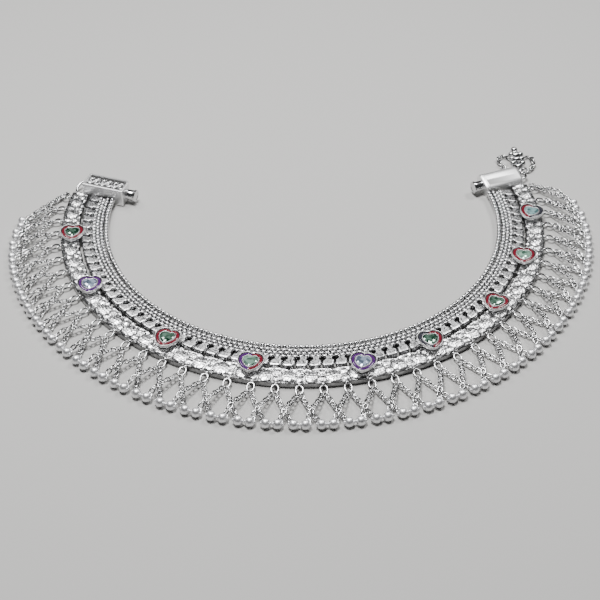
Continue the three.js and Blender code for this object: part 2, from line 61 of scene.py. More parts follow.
# How far the fringe reaches out, and how far its swags have slid toward the front, along the band.
FRINGE_ANGLES = (-101, -95, -89, -82, -70, -58, 0, 40, 62, 82, 95, 101)
FRINGE_REACHES = (0.84, 0.93, 0.98, 1, 1, 1, 1, 0.94, 0.9, 0.9, 0.86, 0.78)
FRINGE_SLIDES = (2.4, 2.0, 1.6, 1.1, 0.5, 0, 0, 0, 0, 0.6, 1.2, 1.5)

# The hearts from left to right: place on the band and turn of the tip, in degrees, and colours.
HEARTS = (
    {"angle": -83.4, "place": 0.0038, "turn": 0, "stone": "green", "left": "red", "right": "red"},
    {"angle": -62.1, "place": 0.0036, "turn": 0, "stone": "pale", "left": "purple", "right": "purple"},
    {"angle": -34.4, "place": 0.0050, "turn": 22, "stone": "green", "left": "red", "right": "red"},
    {"angle": -13.5, "place": 0.0048, "turn": 12, "stone": "pale_green", "left": "purple", "right": "red"},
    {"angle": 11.6, "place": 0.0043, "turn": 13, "stone": "pale", "left": "purple", "right": "purple"},
    {"angle": 28.9, "place": 0.0055, "turn": -9, "stone": "green", "left": "dark", "right": "red"},
    {"angle": 50.1, "place": 0.0046, "turn": 27, "stone": "green", "left": "red", "right": "red"},
    {"angle": 70.0, "place": 0.0054, "turn": 8, "stone": "pale_green", "left": "red", "right": "red"},
    {"angle": 88.6, "place": 0.0036, "turn": 20, "stone": "teal", "left": "red", "right": "dark"},
)

# Raised domes of the strip in one ring pitch: place along the pitch, place across, radius, height.
DOMES = (
    {"along": 0.5, "across": 0.40, "radius": 0.00235, "height": 0.00066},
    {"along": 0.0, "across": 0.26, "radius": 0.00135, "height": 0.00050},
    {"along": 0.0, "across": 0.66, "radius": 0.00125, "height": 0.00044},
    {"along": 0.24, "across": 0.86, "radius": 0.00080, "height": 0.00034},
    {"along": 0.76, "across": 0.86, "radius": 0.00080, "height": 0.00034},
)

# Silver finishes: tone, roughness, grain scale, bump depth, glitter, depth of the patina and painted shade,
# tone of the recesses that they darken.
SILVERS = {
    "granulated_silver": (0.64, 0.34, 2600, 0.00003, 0.16, 0.85, 0.03),
    "woven_silver": (0.62, 0.34, 2600, 0.00003, 0.16, 0.8, 0.05),
    "chain_silver": (0.56, 0.2, 1500, 0.000006, 0.06, 0.9, 0.03),
    "satin_silver": (0.36, 0.24, 3500, 0.000006, 0.05, 0.8, 0.05),
    "edge_silver": (0.68, 0.25, 3500, 0.000006, 0.05, 0.8, 0.04),
    "brushed_silver": (0.95, 0.4, 3200, 0.00001, 0.08, 0.5, 0.05),
    "scroll_silver": (0.72, 0.36, 2600, 0.00001, 0.1, 0.9, 0.2),
    "mirror_silver": (0.66, 0.17, 900, 0.000002, 0.02, 0.4, 0.05),
    "shadow_silver": (0.05, 0.5, 2000, 0.00002, 0.1, 0.6, 0.01),
}
COARSE_SHARE = 0.4

# Height of the lying chains, and how far the tabs and knots lie under the band's top.
CHAIN_HEIGHT = 0.00085
TAB_DROP = 0.00042

# A heart's outline: how far it narrows to the tip, its lift, and how wide the notch is, in radians.
HEART_TAPER = 0.06
HEART_LIFT = 0.07
NOTCH_SPREAD = 0.35


def length(name, description, default):
    return bpy.props.FloatProperty(
        name=name, description=description, default=default, unit="LENGTH", precision=5
    )


def turn(name, description, degrees):
    return bpy.props.FloatProperty(
        name=name, description=description, default=math.radians(degrees), subtype="ANGLE"
    )


def number(name, description, default):
    return bpy.props.IntProperty(name=name, description=description, default=default)


def plain(name, description, default):
    return bpy.props.FloatProperty(name=name, description=description, default=default)


def colour(name, description, default):
    return bpy.props.FloatVectorProperty(
        name=name, description=description, default=default, size=4, min=0, max=1, subtype="COLOR"
    )


class PayalBand(bpy.types.PropertyGroup):
    outer_radius: length("Outer radius", "Radius of the band's outer edge", OUTER_RADIUS)
    half_sweep: turn("Half sweep", "Angle from the middle of the band to either end", 101.7)
    flare: turn("Flare", "Slant of the band's ends, which run on further at the outer edge", 9)
    slope: turn("Slope", "Rise of the band's top toward its inner edge", 4.5)
    strip_width: length("Strip width", "Width of the relief strip", 0.0059)
    strip_height: length("Strip height", "Height of the relief strip's smooth top at its outer edge", 0.0021)
    pebble: length("Pebble", "Size of the fine pebbles on the strip's domes", 0.00095)
    pebble_height: length("Pebble height", "Height of the fine pebbles", 0.00013)
    scallop: length("Scallop", "Depth of the notches in the strip's inner edge", 0.00045)
    seam: length("Seam", "Gap between the strip and the tabs", 0.00055)
    tabs: number("Tabs", "Tabs along the pierced row", 66)
    tab_length: length("Tab length", "Length of a tab across the band", 0.0034)
    slit: length("Slit", "Gap between neighbouring tabs", 0.0004)
    keyhole: length("Keyhole", "Width of the hole at a slit's inner end", 0.0014)
    rows_width: length("Knot rows", "Width of the knotted rows behind the tabs", 0.0035)
    knots: number("Knots", "Knots in one row and beads along the inner edge", 140)
    edge_bead: length("Edge bead", "Diameter of a bead on the inner edge", 0.0016)
    edge_gap: length("Edge gap", "Gap between the knot rows and the inner beads", 0.00015)


class PayalFringe(bpy.types.PropertyGroup):
    rings: number("Rings", "Jump rings along the strip", 42)
    end_margin: turn("End margin", "Angle from the band's end to the first ring", 1.6)
    ring_length: length("Ring length", "Length of a jump ring", 0.0035)
    ring_width: length("Ring width", "Width of a jump ring", 0.0026)
    ring_wire: length("Ring wire", "Thickness of a jump ring's wire", 0.0006)
    wall_gap: length("Wall gap", "Gap between a ring and the strip's wall", 0.0003)
    ring_height: length("Ring height", "Height of a ring's inner end", 0.0017)
    reach: length("Reach", "Distance from the strip's edge to the beads", 0.0155)
    drift: length("Drift", "How far the swags slide toward the front", 0.005)
    link_length: length("Link length", "Length of a chain link", 0.00245)
    link_width: length("Link width", "Width of a chain link", 0.00178)
    link_wire: length("Link wire", "Thickness of a chain link's wire", 0.00051)
    link_pitch: length("Link pitch", "Distance from one link to the next", 0.00162)
    link_roll: turn("Link roll", "How far each link is rolled the other way from the one before", 14)
    bead: length("Bead", "Diameter of a fringe bead", 0.00285)
    crossing_rise: length("Crossing rise", "Rise of a leg where it passes over its neighbour", 0.0021)


class PayalHearts(bpy.types.PropertyGroup):
    width: length("Width", "Width of a heart", 0.0076)
    height: length("Length", "Length of a heart from lobe to tip", 0.0082)
    notch: plain("Notch", "Depth of the notch as a share of the length", 0.11)
    rise: length("Rise", "Height of a heart above its base", 0.0017)
    seat: length("Seat", "Gap between a heart and the relief under it", 0.0002)
    plumpness: plain("Plumpness", "0 for round sides, 1 for slim ones", 0.25)
    red: colour("Red enamel", "Colour of the red enamel", (0.13, 0.002, 0.012, 1))
    purple: colour("Purple enamel", "Colour of the purple enamel", (0.055, 0.006, 0.1, 1))
    dark: colour("Dark enamel", "Colour of the dark enamel", (0.02, 0.02, 0.03, 1))
    green: colour("Green stone", "Colour of the green stones", (0.012, 0.1, 0.05, 1))
    pale: colour("Pale stone", "Colour of the pale stones", (0.3, 0.38, 0.52, 1))
    pale_green: colour("Pale green stone", "Colour of the pale green stones", (0.2, 0.4, 0.29, 1))
    teal: colour("Teal stone", "Colour of the teal stone", (0.22, 0.42, 0.44, 1))


class PayalClasp(bpy.types.PropertyGroup):
    left_length: length("Left length", "Length of the left box", 0.0144)
    left_width: length("Left width", "Width of the left box", 0.0066)
    left_height: length("Left height", "Height of the left box", 0.006)
    left_offset: length("Left offset", "Left box's inner end past the band's inner edge", -0.0025)
    right_length: length("Right length", "Length of the right box", 0.014)
    right_width: length("Right width", "Width of the right box", 0.0074)
    right_height: length("Right height", "Height of the right box", 0.0058)
    right_front: length("Right front", "Height of the right box's low front edge", 0.0039)
    right_bevel: length("Right bevel", "Width of the bevel on the right box's front edge", 0.0004)
    right_back: length("Right back", "Radius of the right box's rounded back", 0.0023)
    right_offset: length("Right offset", "Right box's inner end past the band's inner edge", 0.0005)
    band_gap: length("Band gap", "Gap between a box and the band's end", 0.0003)
    panel_depth: length("Panel depth", "Depth of the sunk panel", 0.0005)
    panel_margin: length("Panel margin", "Width of the frame round the sunk panel", 0.0008)
    corner: length("Corner", "Radius of the left box's rounded corner", 0.0016)
    pin: length("Pin", "Diameter of a clasp pin", 0.0034)
    flange: length("Flange", "Diameter of a pin's end", 0.0039)
    flange_thickness: length("Flange thickness", "Thickness of a pin's end", 0.0007)
    pin_reach: length("Pin reach", "How far a pin stands out of its box", 0.0034)
    pin_height: length("Pin height", "Height of a pin's axis", 0.0029)
    loop_wire: length("Loop wire", "Thickness of the wire of the loops on the boxes", 0.0009)
    loop_sunk: plain("Loop sunk", "Share of the wire let into a box", 0.7)
    left_loop: length("Left loop", "Length of the left loop across its box", 0.0062)
    left_loop_width: length("Left loop width", "Width of the left loop", 0.0046)
    left_loop_lean: turn("Left loop lean", "How far the left loop leans, its back end up", 20)
    left_loop_height: length("Left loop height", "Height of the middle of the left loop", 0.0016)
    right_loop: length("Right loop", "Diameter of the right loop, which holds the charm", 0.0044)
    right_loop_back: length("Right loop back", "Distance of the right loop from its box's middle", 0.00148)
    right_loop_height: length("Right loop height", "Height of the right loop", 0.0017)


class PayalCharm(bpy.types.PropertyGroup):
    direction: turn("Direction", "Direction of the charm from the right box's own length", 68)
    coil_length: length("Coil length", "Length of a chain coil", 0.0105)
    coil_width: length("Coil width", "Width of a chain coil", 0.0064)
    coil_wire: length("Coil thickness", "Thickness of a chain coil", 0.0017)
    link: length("Link", "Length of the link that holds the charm", 0.0042)
    link_width: length("Link width", "Width of the link that holds the charm", 0.0034)
    wire: length("Wire", "Thickness of the link's wire", 0.0008)
    bead: length("Bead", "Diameter of the middle beads", 0.0030)
    top_bead: length("Top bead", "Diameter of the end beads", 0.0024)


class PayalStage(bpy.types.PropertyGroup):
    azimuth: turn("Azimuth", "Camera's angle round the object", -1.75)
    elevation: turn("Elevation", "Camera's angle above the floor", 39.88)
    distance: length("Distance", "Distance from the camera to the point it looks at", 0.396)
    lens: plain("Lens", "Focal length in millimetres", 79.2)
    look_x: length("Look X", "Point looked at, from the middle of the ankle space", -0.00198)
    look_y: length("Look Y", "Point looked at, from the middle of the ankle space", -0.03859)
    floor: colour("Floor", "Colour of the floor", (0.46, 0.455, 0.445, 1))


def settings(name):
    return getattr(bpy.context.scene, "payal_" + name)


# Places on the band.


def polar(radius, angle, height):
    """Points at a radius and angle round the ankle space. Angle 0 is the front, positive is to the right."""
    radius, angle, height = np.broadcast_arrays(radius, angle, height)
    x = CENTRE_X + radius * np.sin(angle)
    y = CENTRE_Y - radius * np.cos(angle)
    return np.stack([x, y, np.asarray(height, float)], -1)


def outward(angle):
    angle = np.asarray(angle, float)
    return np.stack([np.sin(angle), -np.cos(angle), np.zeros_like(angle)], -1)


def around(angle):
    angle = np.asarray(angle, float)
    return np.stack([np.cos(angle), np.sin(angle), np.zeros_like(angle)], -1)


def band_top(radius):
    band = settings("band")
    return band.strip_height + math.tan(band.slope) * (band.outer_radius - radius)


def flared(angle, radius):
    """An angle on the band, stretched toward the outer edge so that the ends are cut on a slant."""
    band = settings("band")
    middle = (band.outer_radius + inner_radius()) / 2
    rate = math.tan(band.flare) / middle / band.half_sweep
    return angle * (1 + rate * (np.asarray(radius, float) - middle))


def on_band(radius, angle, height):
    return polar(radius, flared(angle, radius), height)


def inner_radius():
    band = settings("band")
    used = band.strip_width + band.seam + band.tab_length + band.rows_width + band.edge_gap + band.edge_bead
    return band.outer_radius - used


def ring_pitch():
    band, fringe = settings("band"), settings("fringe")
    return 2 * (band.half_sweep - fringe.end_margin) / (fringe.rings - 1)


def ring_angle(k):
    band, fringe = settings("band"), settings("fringe")
    return float(flared(-band.half_sweep + fringe.end_margin + k * ring_pitch(), band.outer_radius))


# Meshes from arrays.


def make_object(name, points, faces, materials, smooth=True, face_material=None, relief=None):
    mesh = bpy.data.meshes.new(name)
    mesh.from_pydata(np.asarray(points, float).tolist(), [], [list(map(int, face)) for face in faces])
    mesh.update()
    mesh.polygons.foreach_set("use_smooth", [smooth] * len(mesh.polygons))
    for material in materials:
        mesh.materials.append(material)
    if face_material is not None:
        mesh.polygons.foreach_set("material_index", [int(i) for i in face_material])
    layer = mesh.attributes.new("relief", "FLOAT", "POINT")
    values = np.ones(len(points)) if relief is None else np.asarray(relief, float)
    layer.data.foreach_set("value", values.tolist())
    piece = bpy.data.objects.new(name, mesh)
    bpy.context.scene.collection.objects.link(piece)
    return piece


def finish_piece(piece, nodes=()):
    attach(piece, "root")
    if nodes:
        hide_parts(*nodes)
    return piece


def split_edges(piece, degrees):
    """Keeps edges sharper than the angle crisp."""
    piece.modifiers.new("edges", "EDGE_SPLIT").split_angle = math.radians(degrees)


def dress(name, shape, metal, slot, nodes=(), **options):
    """A finished piece of silver: its mesh and the nodes that it replaces; the slot argument is not used."""
    points, faces = shape
    piece = make_object(name, points, faces, [silver(metal)], **options)
    return finish_piece(piece, nodes)


def ball(sides, rings):
    """A unit ball as points and faces."""
    points = [(0, 0, 1)]
    for i in range(1, rings):
        tilt = math.pi * i / rings
        for j in range(sides):
            spin = 2 * math.pi * j / sides
            points.append((math.sin(tilt) * math.cos(spin), math.sin(tilt) * math.sin(spin), math.cos(tilt)))
    points.append((0, 0, -1))
    last = len(points) - 1
    faces = []
    for j in range(sides):
        k = (j + 1) % sides
        faces.append((0, 1 + j, 1 + k))
        for i in range(rings - 2):
            a = 1 + i * sides
            faces.append((a + j, a + sides + j, a + sides + k, a + k))
        a = 1 + (rings - 2) * sides
        faces.append((a + j, last, a + k))
    return np.array(points), faces


def oval_link(long, wide, wire, segments, sides):
    """An oval link in the XY plane, long along X, as points and faces."""
    points = []
    for i in range(segments):
        spin = 2 * math.pi * i / segments
        centre = np.array([math.cos(spin) * (long - wire) / 2, math.sin(spin) * (wide - wire) / 2, 0])
        out = np.array([math.cos(spin) * (wide - wire), math.sin(spin) * (long - wire), 0])
        out /= np.linalg.norm(out)
        for j in range(sides):
            roll = 2 * math.pi * (j + 0.5) / sides
            lift = np.array([0, 0, math.sin(roll) * wire / 2])
            points.append(centre + out * math.cos(roll) * wire / 2 + lift)
    faces = []
    for i in range(segments):
        for j in range(sides):
            a, b = i * sides + j, i * sides + (j + 1) % sides
            c, d = ((i + 1) % segments) * sides + (j + 1) % sides, ((i + 1) % segments) * sides + j
            faces.append((a, b, c, d))
    return np.array(points), faces


def copies(shape, origins, axes):
    """The shape repeated at each origin, its X, Y and Z laid along the rows of each matrix in axes."""
    points, faces = shape
    moved = np.einsum("pk,nkc->npc", points, np.asarray(axes)) + np.asarray(origins)[:, None, :]
    count = len(points)
    repeated = [tuple(i + n * count for i in face) for n in range(len(origins)) for face in faces]
    return moved.reshape(-1, 3), repeated


def merged(shapes):
    points, faces, start = [], [], 0
    for shape_points, shape_faces in shapes:
        points.append(np.asarray(shape_points, float))
        faces += [tuple(i + start for i in face) for face in shape_faces]
        start += len(shape_points)
    return np.concatenate(points), faces


def axes_at(angles, sizes):
    """For each angle, axes outward, around and up, scaled by the three sizes."""
    rows = np.stack([outward(angles), around(angles), np.tile([0.0, 0, 1], (len(angles), 1))], 1)
    return rows * np.asarray(sizes)[None, :, None]


def grid_faces(columns, rows, closed_rows=False):
    faces = []
    for i in range(columns - 1):
        for j in range(rows if closed_rows else rows - 1):
            k = (j + 1) % rows
            faces.append((i * rows + j, (i + 1) * rows + j, (i + 1) * rows + k, i * rows + k))
    return faces


def loft(rings):
    """A closed solid through rings of equal point counts, each end filled by one face."""
    rings = [np.asarray(ring, float) for ring in rings]
    count = len(rings[0])
    faces = grid_faces(len(rings), count, closed_rows=True)
    faces.append(tuple(range(count)))
    faces.append(tuple((len(rings) - 1) * count + i for i in reversed(range(count))))
    return np.concatenate(rings), faces


def smooth_path(points, steps):
    """A curve through the points, with `steps` samples to each stretch."""
    points = np.asarray(points, float)
    padded = np.vstack([2 * points[0] - points[1], points, 2 * points[-1] - points[-2]])
    share = np.linspace(0, 1, steps, endpoint=False)[:, None]
    curve = []
    for a, b, c, d in zip(padded, padded[1:], padded[2:], padded[3:]):
        bend = 2 * a - 5 * b + 4 * c - d
        twist = 3 * b - a - 3 * c + d
        curve.append(b + 0.5 * share * (c - a) + 0.5 * share**2 * bend + 0.5 * share**3 * twist)
    return np.vstack(curve + [points[-1:]])


def along_path(curve, pitch):
    """Points and directions at an even pitch along a curve."""
    gaps = np.linalg.norm(np.diff(curve, axis=0), axis=1)
    travelled = np.concatenate([[0], np.cumsum(gaps)])
    count = max(1, round(travelled[-1] / pitch))
    at = (np.arange(count) + 0.5) * travelled[-1] / count
    places = np.stack([np.interp(at, travelled, curve[:, i]) for i in range(3)], 1)
    ahead = np.stack([np.interp(at + pitch / 4, travelled, curve[:, i]) for i in range(3)], 1)
    behind = np.stack([np.interp(at - pitch / 4, travelled, curve[:, i]) for i in range(3)], 1)
    direction = ahead - behind
    direction /= np.linalg.norm(direction, axis=1)[:, None]
    return places, direction


def chain_links(curve, fringe, roll, start=0):
    """Links along a curve, each rolled the other way from the one before."""
    places, direction = along_path(curve, fringe.link_pitch)
    side = np.cross([0.0, 0, 1], direction)
    side /= np.linalg.norm(side, axis=1)[:, None]
    up = np.cross(direction, side)
    sign = np.where((np.arange(len(places)) + start) % 2 == 0, 1.0, -1.0)[:, None]
    rolled = side * math.cos(roll) + up * math.sin(roll) * sign
    lifted = up * math.cos(roll) - side * math.sin(roll) * sign
    return places, np.stack([direction, rolled, lifted], 1)


# Shader groups and materials.


def new_group(name, inputs, outputs):
    group = bpy.data.node_groups.new(name, "ShaderNodeTree")
    for label, kind, default in inputs:
        socket = group.interface.new_socket(label, in_out="INPUT", socket_type=kind)
        socket.default_value = default
    for label, kind in outputs:
        group.interface.new_socket(label, in_out="OUTPUT", socket_type=kind)
    return group, group.nodes.new("NodeGroupInput"), group.nodes.new("NodeGroupOutput")


def frosted_grain():
    """Fine granulation: a height, and a mask of small bright grains."""
    if "Frosted grain" in bpy.data.node_groups:
        return bpy.data.node_groups["Frosted grain"]
    group, source, sink = new_group(
        "Frosted grain",
        [("Scale", "NodeSocketFloat", 2500.0), ("Coarse", "NodeSocketFloat", 0.5)],
        [("Height", "NodeSocketFloat"), ("Glitter", "NodeSocketFloat")],
    )
    nodes, links = group.nodes, group.links
    place = nodes.new("ShaderNodeTexCoord")
    grains = nodes.new("ShaderNodeTexVoronoi")
    noise = nodes.new("ShaderNodeTexNoise")
    noise.inputs["Detail"].default_value = 3
    half = nodes.new("ShaderNodeMath")
    half.operation = "MULTIPLY"
    half.inputs[1].default_value = 0.35
    mix = nodes.new("ShaderNodeMix")
    bright = nodes.new("ShaderNodeMapRange")
    bright.inputs["From Min"].default_value = 0.55
    bright.inputs["From Max"].default_value = 0.8
    links.new(place.outputs["Object"], grains.inputs["Vector"])
    links.new(place.outputs["Object"], noise.inputs["Vector"])
    links.new(source.outputs["Scale"], grains.inputs["Scale"])
    links.new(source.outputs["Scale"], half.inputs[0])
    links.new(half.outputs[0], noise.inputs["Scale"])
    links.new(source.outputs["Coarse"], mix.inputs[0])
    links.new(grains.outputs["Distance"], mix.inputs[2])
    links.new(noise.outputs["Fac"], mix.inputs[3])
    links.new(mix.outputs[0], sink.inputs["Height"])
    links.new(grains.outputs["Color"], bright.inputs["Value"])
    links.new(bright.outputs["Result"], sink.inputs["Glitter"])
    return group


def recess_tarnish_and_shade():
    """Darkens what lies low in the relief, as tarnished patina and painted shade, with a little unevenness.
    """
    if "Recess tarnish" in bpy.data.node_groups:
        return bpy.data.node_groups["Recess tarnish"]
    group, source, sink = new_group(
        "Recess tarnish",
        [
            ("Silver", "NodeSocketColor", (0.86, 0.86, 0.86, 1)),
            ("Tarnish", "NodeSocketColor", (0.08, 0.08, 0.08, 1)),
            ("Relief", "NodeSocketFloat", 1.0),
            ("Depth", "NodeSocketFloat", 0.5),
        ],
        [("Color", "NodeSocketColor"), ("Clean", "NodeSocketFloat")],
    )
    nodes, links = group.nodes, group.links
    place = nodes.new("ShaderNodeTexCoord")
    noise = nodes.new("ShaderNodeTexNoise")
    noise.inputs["Scale"].default_value = 900
    noise.inputs["Detail"].default_value = 3
    spread = nodes.new("ShaderNodeMath")
    spread.operation = "MULTIPLY_ADD"
    spread.inputs[1].default_value = 0.35
    bare = nodes.new("ShaderNodeMapRange")
    bare.interpolation_type = "SMOOTHSTEP"
    bare.inputs["From Min"].default_value = 0.1
    mix = nodes.new("ShaderNodeMix")
    mix.data_type = "RGBA"
    links.new(place.outputs["Object"], noise.inputs["Vector"])
    links.new(noise.outputs["Fac"], spread.inputs[0])
    links.new(source.outputs["Relief"], spread.inputs[2])
    links.new(spread.outputs[0], bare.inputs["Value"])
    links.new(source.outputs["Depth"], bare.inputs["From Max"])
    links.new(bare.outputs["Result"], mix.inputs[0])
    links.new(source.outputs["Tarnish"], mix.inputs[6])
    links.new(source.outputs["Silver"], mix.inputs[7])
    links.new(mix.outputs[2], sink.inputs["Color"])
    links.new(bare.outputs["Result"], sink.inputs["Clean"])
    return group


def place_group(material, group, **values):
    node = material.node_tree.nodes.new("ShaderNodeGroup")
    node.node_tree = group
    for label, value in values.items():
        node.inputs[label].default_value = value
    return node


def new_material(name):
    material = bpy.data.materials.new(name)
    material.use_nodes = True
    return material, material.node_tree.nodes["Principled BSDF"]


def object_texture(tree, kind):
    """A texture laid out by the object's own coordinates."""
    texture = tree.nodes.new(kind)
    place = tree.nodes.new("ShaderNodeTexCoord")
    tree.links.new(place.outputs["Object"], texture.inputs["Vector"])
    return texture


def two_tone(tree, shader, factor, first, second):
    """Mixes two colours by a factor into the shader's base colour."""
    mix = tree.nodes.new("ShaderNodeMix")
    mix.data_type = "RGBA"
    mix.inputs[6].default_value = first
    mix.inputs[7].default_value = second
    tree.links.new(factor, mix.inputs[0])
    tree.links.new(mix.outputs[2], shader.inputs["Base Color"])


def silver(name):
    """Silver with a granulated bump, glittering grains, and tarnished patina with painted shade low in its
    relief.
    """
    if name in bpy.data.materials:
        return bpy.data.materials[name]
    tone, rough, grain, depth, glitter, tarnish_and_shade, dark = SILVERS[name]
    material, shader = new_material(name)
    nodes, links = material.node_tree.nodes, material.node_tree.links
    shader.inputs["Metallic"].default_value = 1
    relief = nodes.new("ShaderNodeAttribute")
    relief.attribute_name = "relief"
    bare = (tone, tone, tone * 1.01, 1)
    # The recesses get the dark tone, as tarnished patina and painted shade.
    recess_darkening = place_group(material, recess_tarnish_and_shade(), Silver=bare, Tarnish=(dark, dark, dark, 1), Depth=tarnish_and_shade)
    grains = place_group(material, frosted_grain(), Scale=grain, Coarse=COARSE_SHARE)
    shine = nodes.new("ShaderNodeMapRange")
    shine.inputs["To Min"].default_value = rough
    shine.inputs["To Max"].default_value = max(0.05, rough - glitter)
    bump = nodes.new("ShaderNodeBump")
    bump.inputs["Strength"].default_value = 1
    bump.inputs["Distance"].default_value = depth
    links.new(relief.outputs["Fac"], recess_darkening.inputs["Relief"])
    links.new(recess_darkening.outputs["Color"], shader.inputs["Base Color"])
    links.new(grains.outputs["Glitter"], shine.inputs["Value"])
    links.new(shine.outputs["Result"], shader.inputs["Roughness"])
    links.new(grains.outputs["Height"], bump.inputs["Height"])
    links.new(bump.outputs["Normal"], shader.inputs["Normal"])
    return material


def enamel(name, shade):
    """Glossy enamel with faint pooling in its colour."""
    if name in bpy.data.materials:
        return bpy.data.materials[name]
    material, shader = new_material(name)
    noise = object_texture(material.node_tree, "ShaderNodeTexNoise")
    noise.inputs["Scale"].default_value = 1100
    deep = [c * 0.7 for c in shade[:3]] + [1]
    thin = [min(1, c * 1.5 + 0.01) for c in shade[:3]] + [1]
    two_tone(material.node_tree, shader, noise.outputs["Fac"], deep, thin)
    shader.inputs["Roughness"].default_value = 0.16
    shader.inputs["Coat Weight"].default_value = 0.8
    shader.inputs["Coat Roughness"].default_value = 0.05
    return material


def cut_stone(name, shade):
    """A bright cut stone with painted sparkle: lighter and darker patches of its colour stand in for light
    caught in its facets.
    """
    if name in bpy.data.materials:
        return bpy.data.materials[name]
    material, shader = new_material(name)
    tree = material.node_tree
    cells = object_texture(tree, "ShaderNodeTexVoronoi")
    cells.inputs["Scale"].default_value = 950
    painted_sparkle = tree.nodes.new("ShaderNodeMapRange")
    painted_sparkle.inputs["From Min"].default_value = 0.2
    painted_sparkle.inputs["From Max"].default_value = 0.85
    tree.links.new(cells.outputs["Color"], painted_sparkle.inputs["Value"])
    # Painted sparkle: a darker copy of the colour and a lighter, whitened one, for light in the facets.
    painted_facet_shade = [c * 0.35 for c in shade[:3]] + [1]
    bright = [min(1, c * 1.25 + 0.14) for c in shade[:3]] + [1]
    two_tone(tree, shader, painted_sparkle.outputs["Result"], painted_facet_shade, bright)
    shader.inputs["Roughness"].default_value = 0.06
    shader.inputs["Metallic"].default_value = 0.35
    shader.inputs["Coat Weight"].default_value = 1
    shader.inputs["Coat Roughness"].default_value = 0.02
    return material


# The band.


def dome_relief(band, along, across, pitches):
    """Height of the strip's domes over a grid of places, with fine pebbling all over them."""
    pitch = ring_pitch() * (band.outer_radius - band.strip_width / 2)
    rng = np.random.default_rng(7)
    height = np.zeros(along.shape)
    for k in range(-1, pitches + 2):
        for dome in DOMES:
            jitter = rng.normal(0, 0.05, 4)
            middle = (k + dome["along"]) * pitch + jitter[0] * 0.0012
            far = dome["across"] * band.strip_width + jitter[1] * 0.0012
            radius = dome["radius"] * (1 + jitter[2])
            window = np.abs(along[:, 0] - middle) < radius
            if not window.any():
                continue
            gap = np.hypot(along[window] - middle, (across[window] - far) * 1.05) / radius
            swell = dome["height"] * (1 + jitter[3]) * np.clip(1 - gap**2, 0, 1) ** 0.6
            height[window] = np.maximum(height[window], swell)
    u = along / band.pebble + 0.35 * np.sin(across / band.pebble * 2.1)
    v = across / band.pebble + 0.3 * np.sin(along / band.pebble * 1.3)
    pebbles = np.sqrt(np.abs(np.sin(math.pi * u) * np.sin(math.pi * v)))
    return height + band.pebble_height * pebbles


def relief_strip():
    band, fringe = settings("band"), settings("fringe")
    columns, rows = 1450, 30
    angle = np.linspace(-band.half_sweep, band.half_sweep, columns)[:, None]
    share = np.linspace(0, 1, rows)[None, :]
    middle_radius = band.outer_radius - band.strip_width / 2
    first = fringe.end_margin - band.half_sweep
    phase = (angle - first) / ring_pitch()
    notch = 1 - np.abs(np.cos(math.pi * phase))
    width = band.strip_width - band.scallop * notch**2 * 1.6
    across = share * width
    along = np.broadcast_to((angle - first) * middle_radius, across.shape)
    domes = dome_relief(band, along, across, fringe.rings)
    rim = 0.0001 * np.exp(-(((across - 0.0003) / 0.0002) ** 2))
    arch = 0.0003 * np.exp(-(((width - across - 0.0005) / 0.0003) ** 2))
    height = np.maximum(np.maximum(domes, rim), arch)
    edge = 0.0004 * np.clip(1 - (width - across) / 0.0003, 0, 1) ** 2
    radius = band.outer_radius - across
    top = band_top(radius) - 0.00035 + height - edge
    points = on_band(radius, angle, top)
    # Darkening mask: the hollows between the domes, as patina and painted shade.
    relief = np.clip((height - 0.00006) / 0.00034, 0.1, 1)
    wall = [on_band(band.outer_radius, angle[:, 0], z) for z in (0.00012, 0.0009, 0.0017)]
    foot = on_band(band.outer_radius - 0.00012, angle[:, 0], 0.0)
    inner_foot = on_band(band.outer_radius - width[:, 0], angle[:, 0], 0.0)
    ring = np.concatenate([foot[:, None], np.stack(wall, 1), points, inner_foot[:, None]], 1)
    # Painted shade on the strip's outer wall, and darker painted shade at its inner foot by the seam.
    values = np.concatenate([np.full((columns, 4), 0.22), relief, np.full((columns, 1), 0.05)], 1)
    relief = values.reshape(-1)
    nodes = ["outer_strip"]
    return dress("relief_strip", loft(ring), "granulated_silver", "frosted_silver", nodes, relief=relief)


def tab_shape(band, pitch_angle):
    """Points of one tab around angle 0 as radius, angle, height and relief, with its faces."""
    columns, rows = 15, 13
    s = np.linspace(-1, 1, columns)[:, None]
    t = np.linspace(0, 1, rows)[None, :]
    outer = band.outer_radius - band.strip_width - band.seam
    radius = outer - t * (band.tab_length + 0.0003)
    half = pitch_angle / 2 * radius - band.slit / 2
    corner_left = 0.4 * np.clip(1 - t / 0.3, 0, 1) ** 2.2
    corner_right = 0.14 * np.clip(1 - t / 0.16, 0, 1) ** 2
    hole = band.keyhole / 2 * (1 - np.clip(np.abs(t - 0.81) / 0.2, 0, 1) ** 4)
    reach = np.where(s < 0, half * (1 - corner_left) - hole, half * (1 - corner_right) - hole)
    skew = 0.0009 * (1 - t) ** 1.3
    angle = (s * reach - skew) / radius
    rim = np.clip((1 - np.abs(s)) * 4.5, 0, 1) * np.clip(t * 7, 0, 1)
    height = band_top(radius) - TAB_DROP + 0.00034 * np.sqrt(rim) + 0 * s
    return radius, angle, height, rim


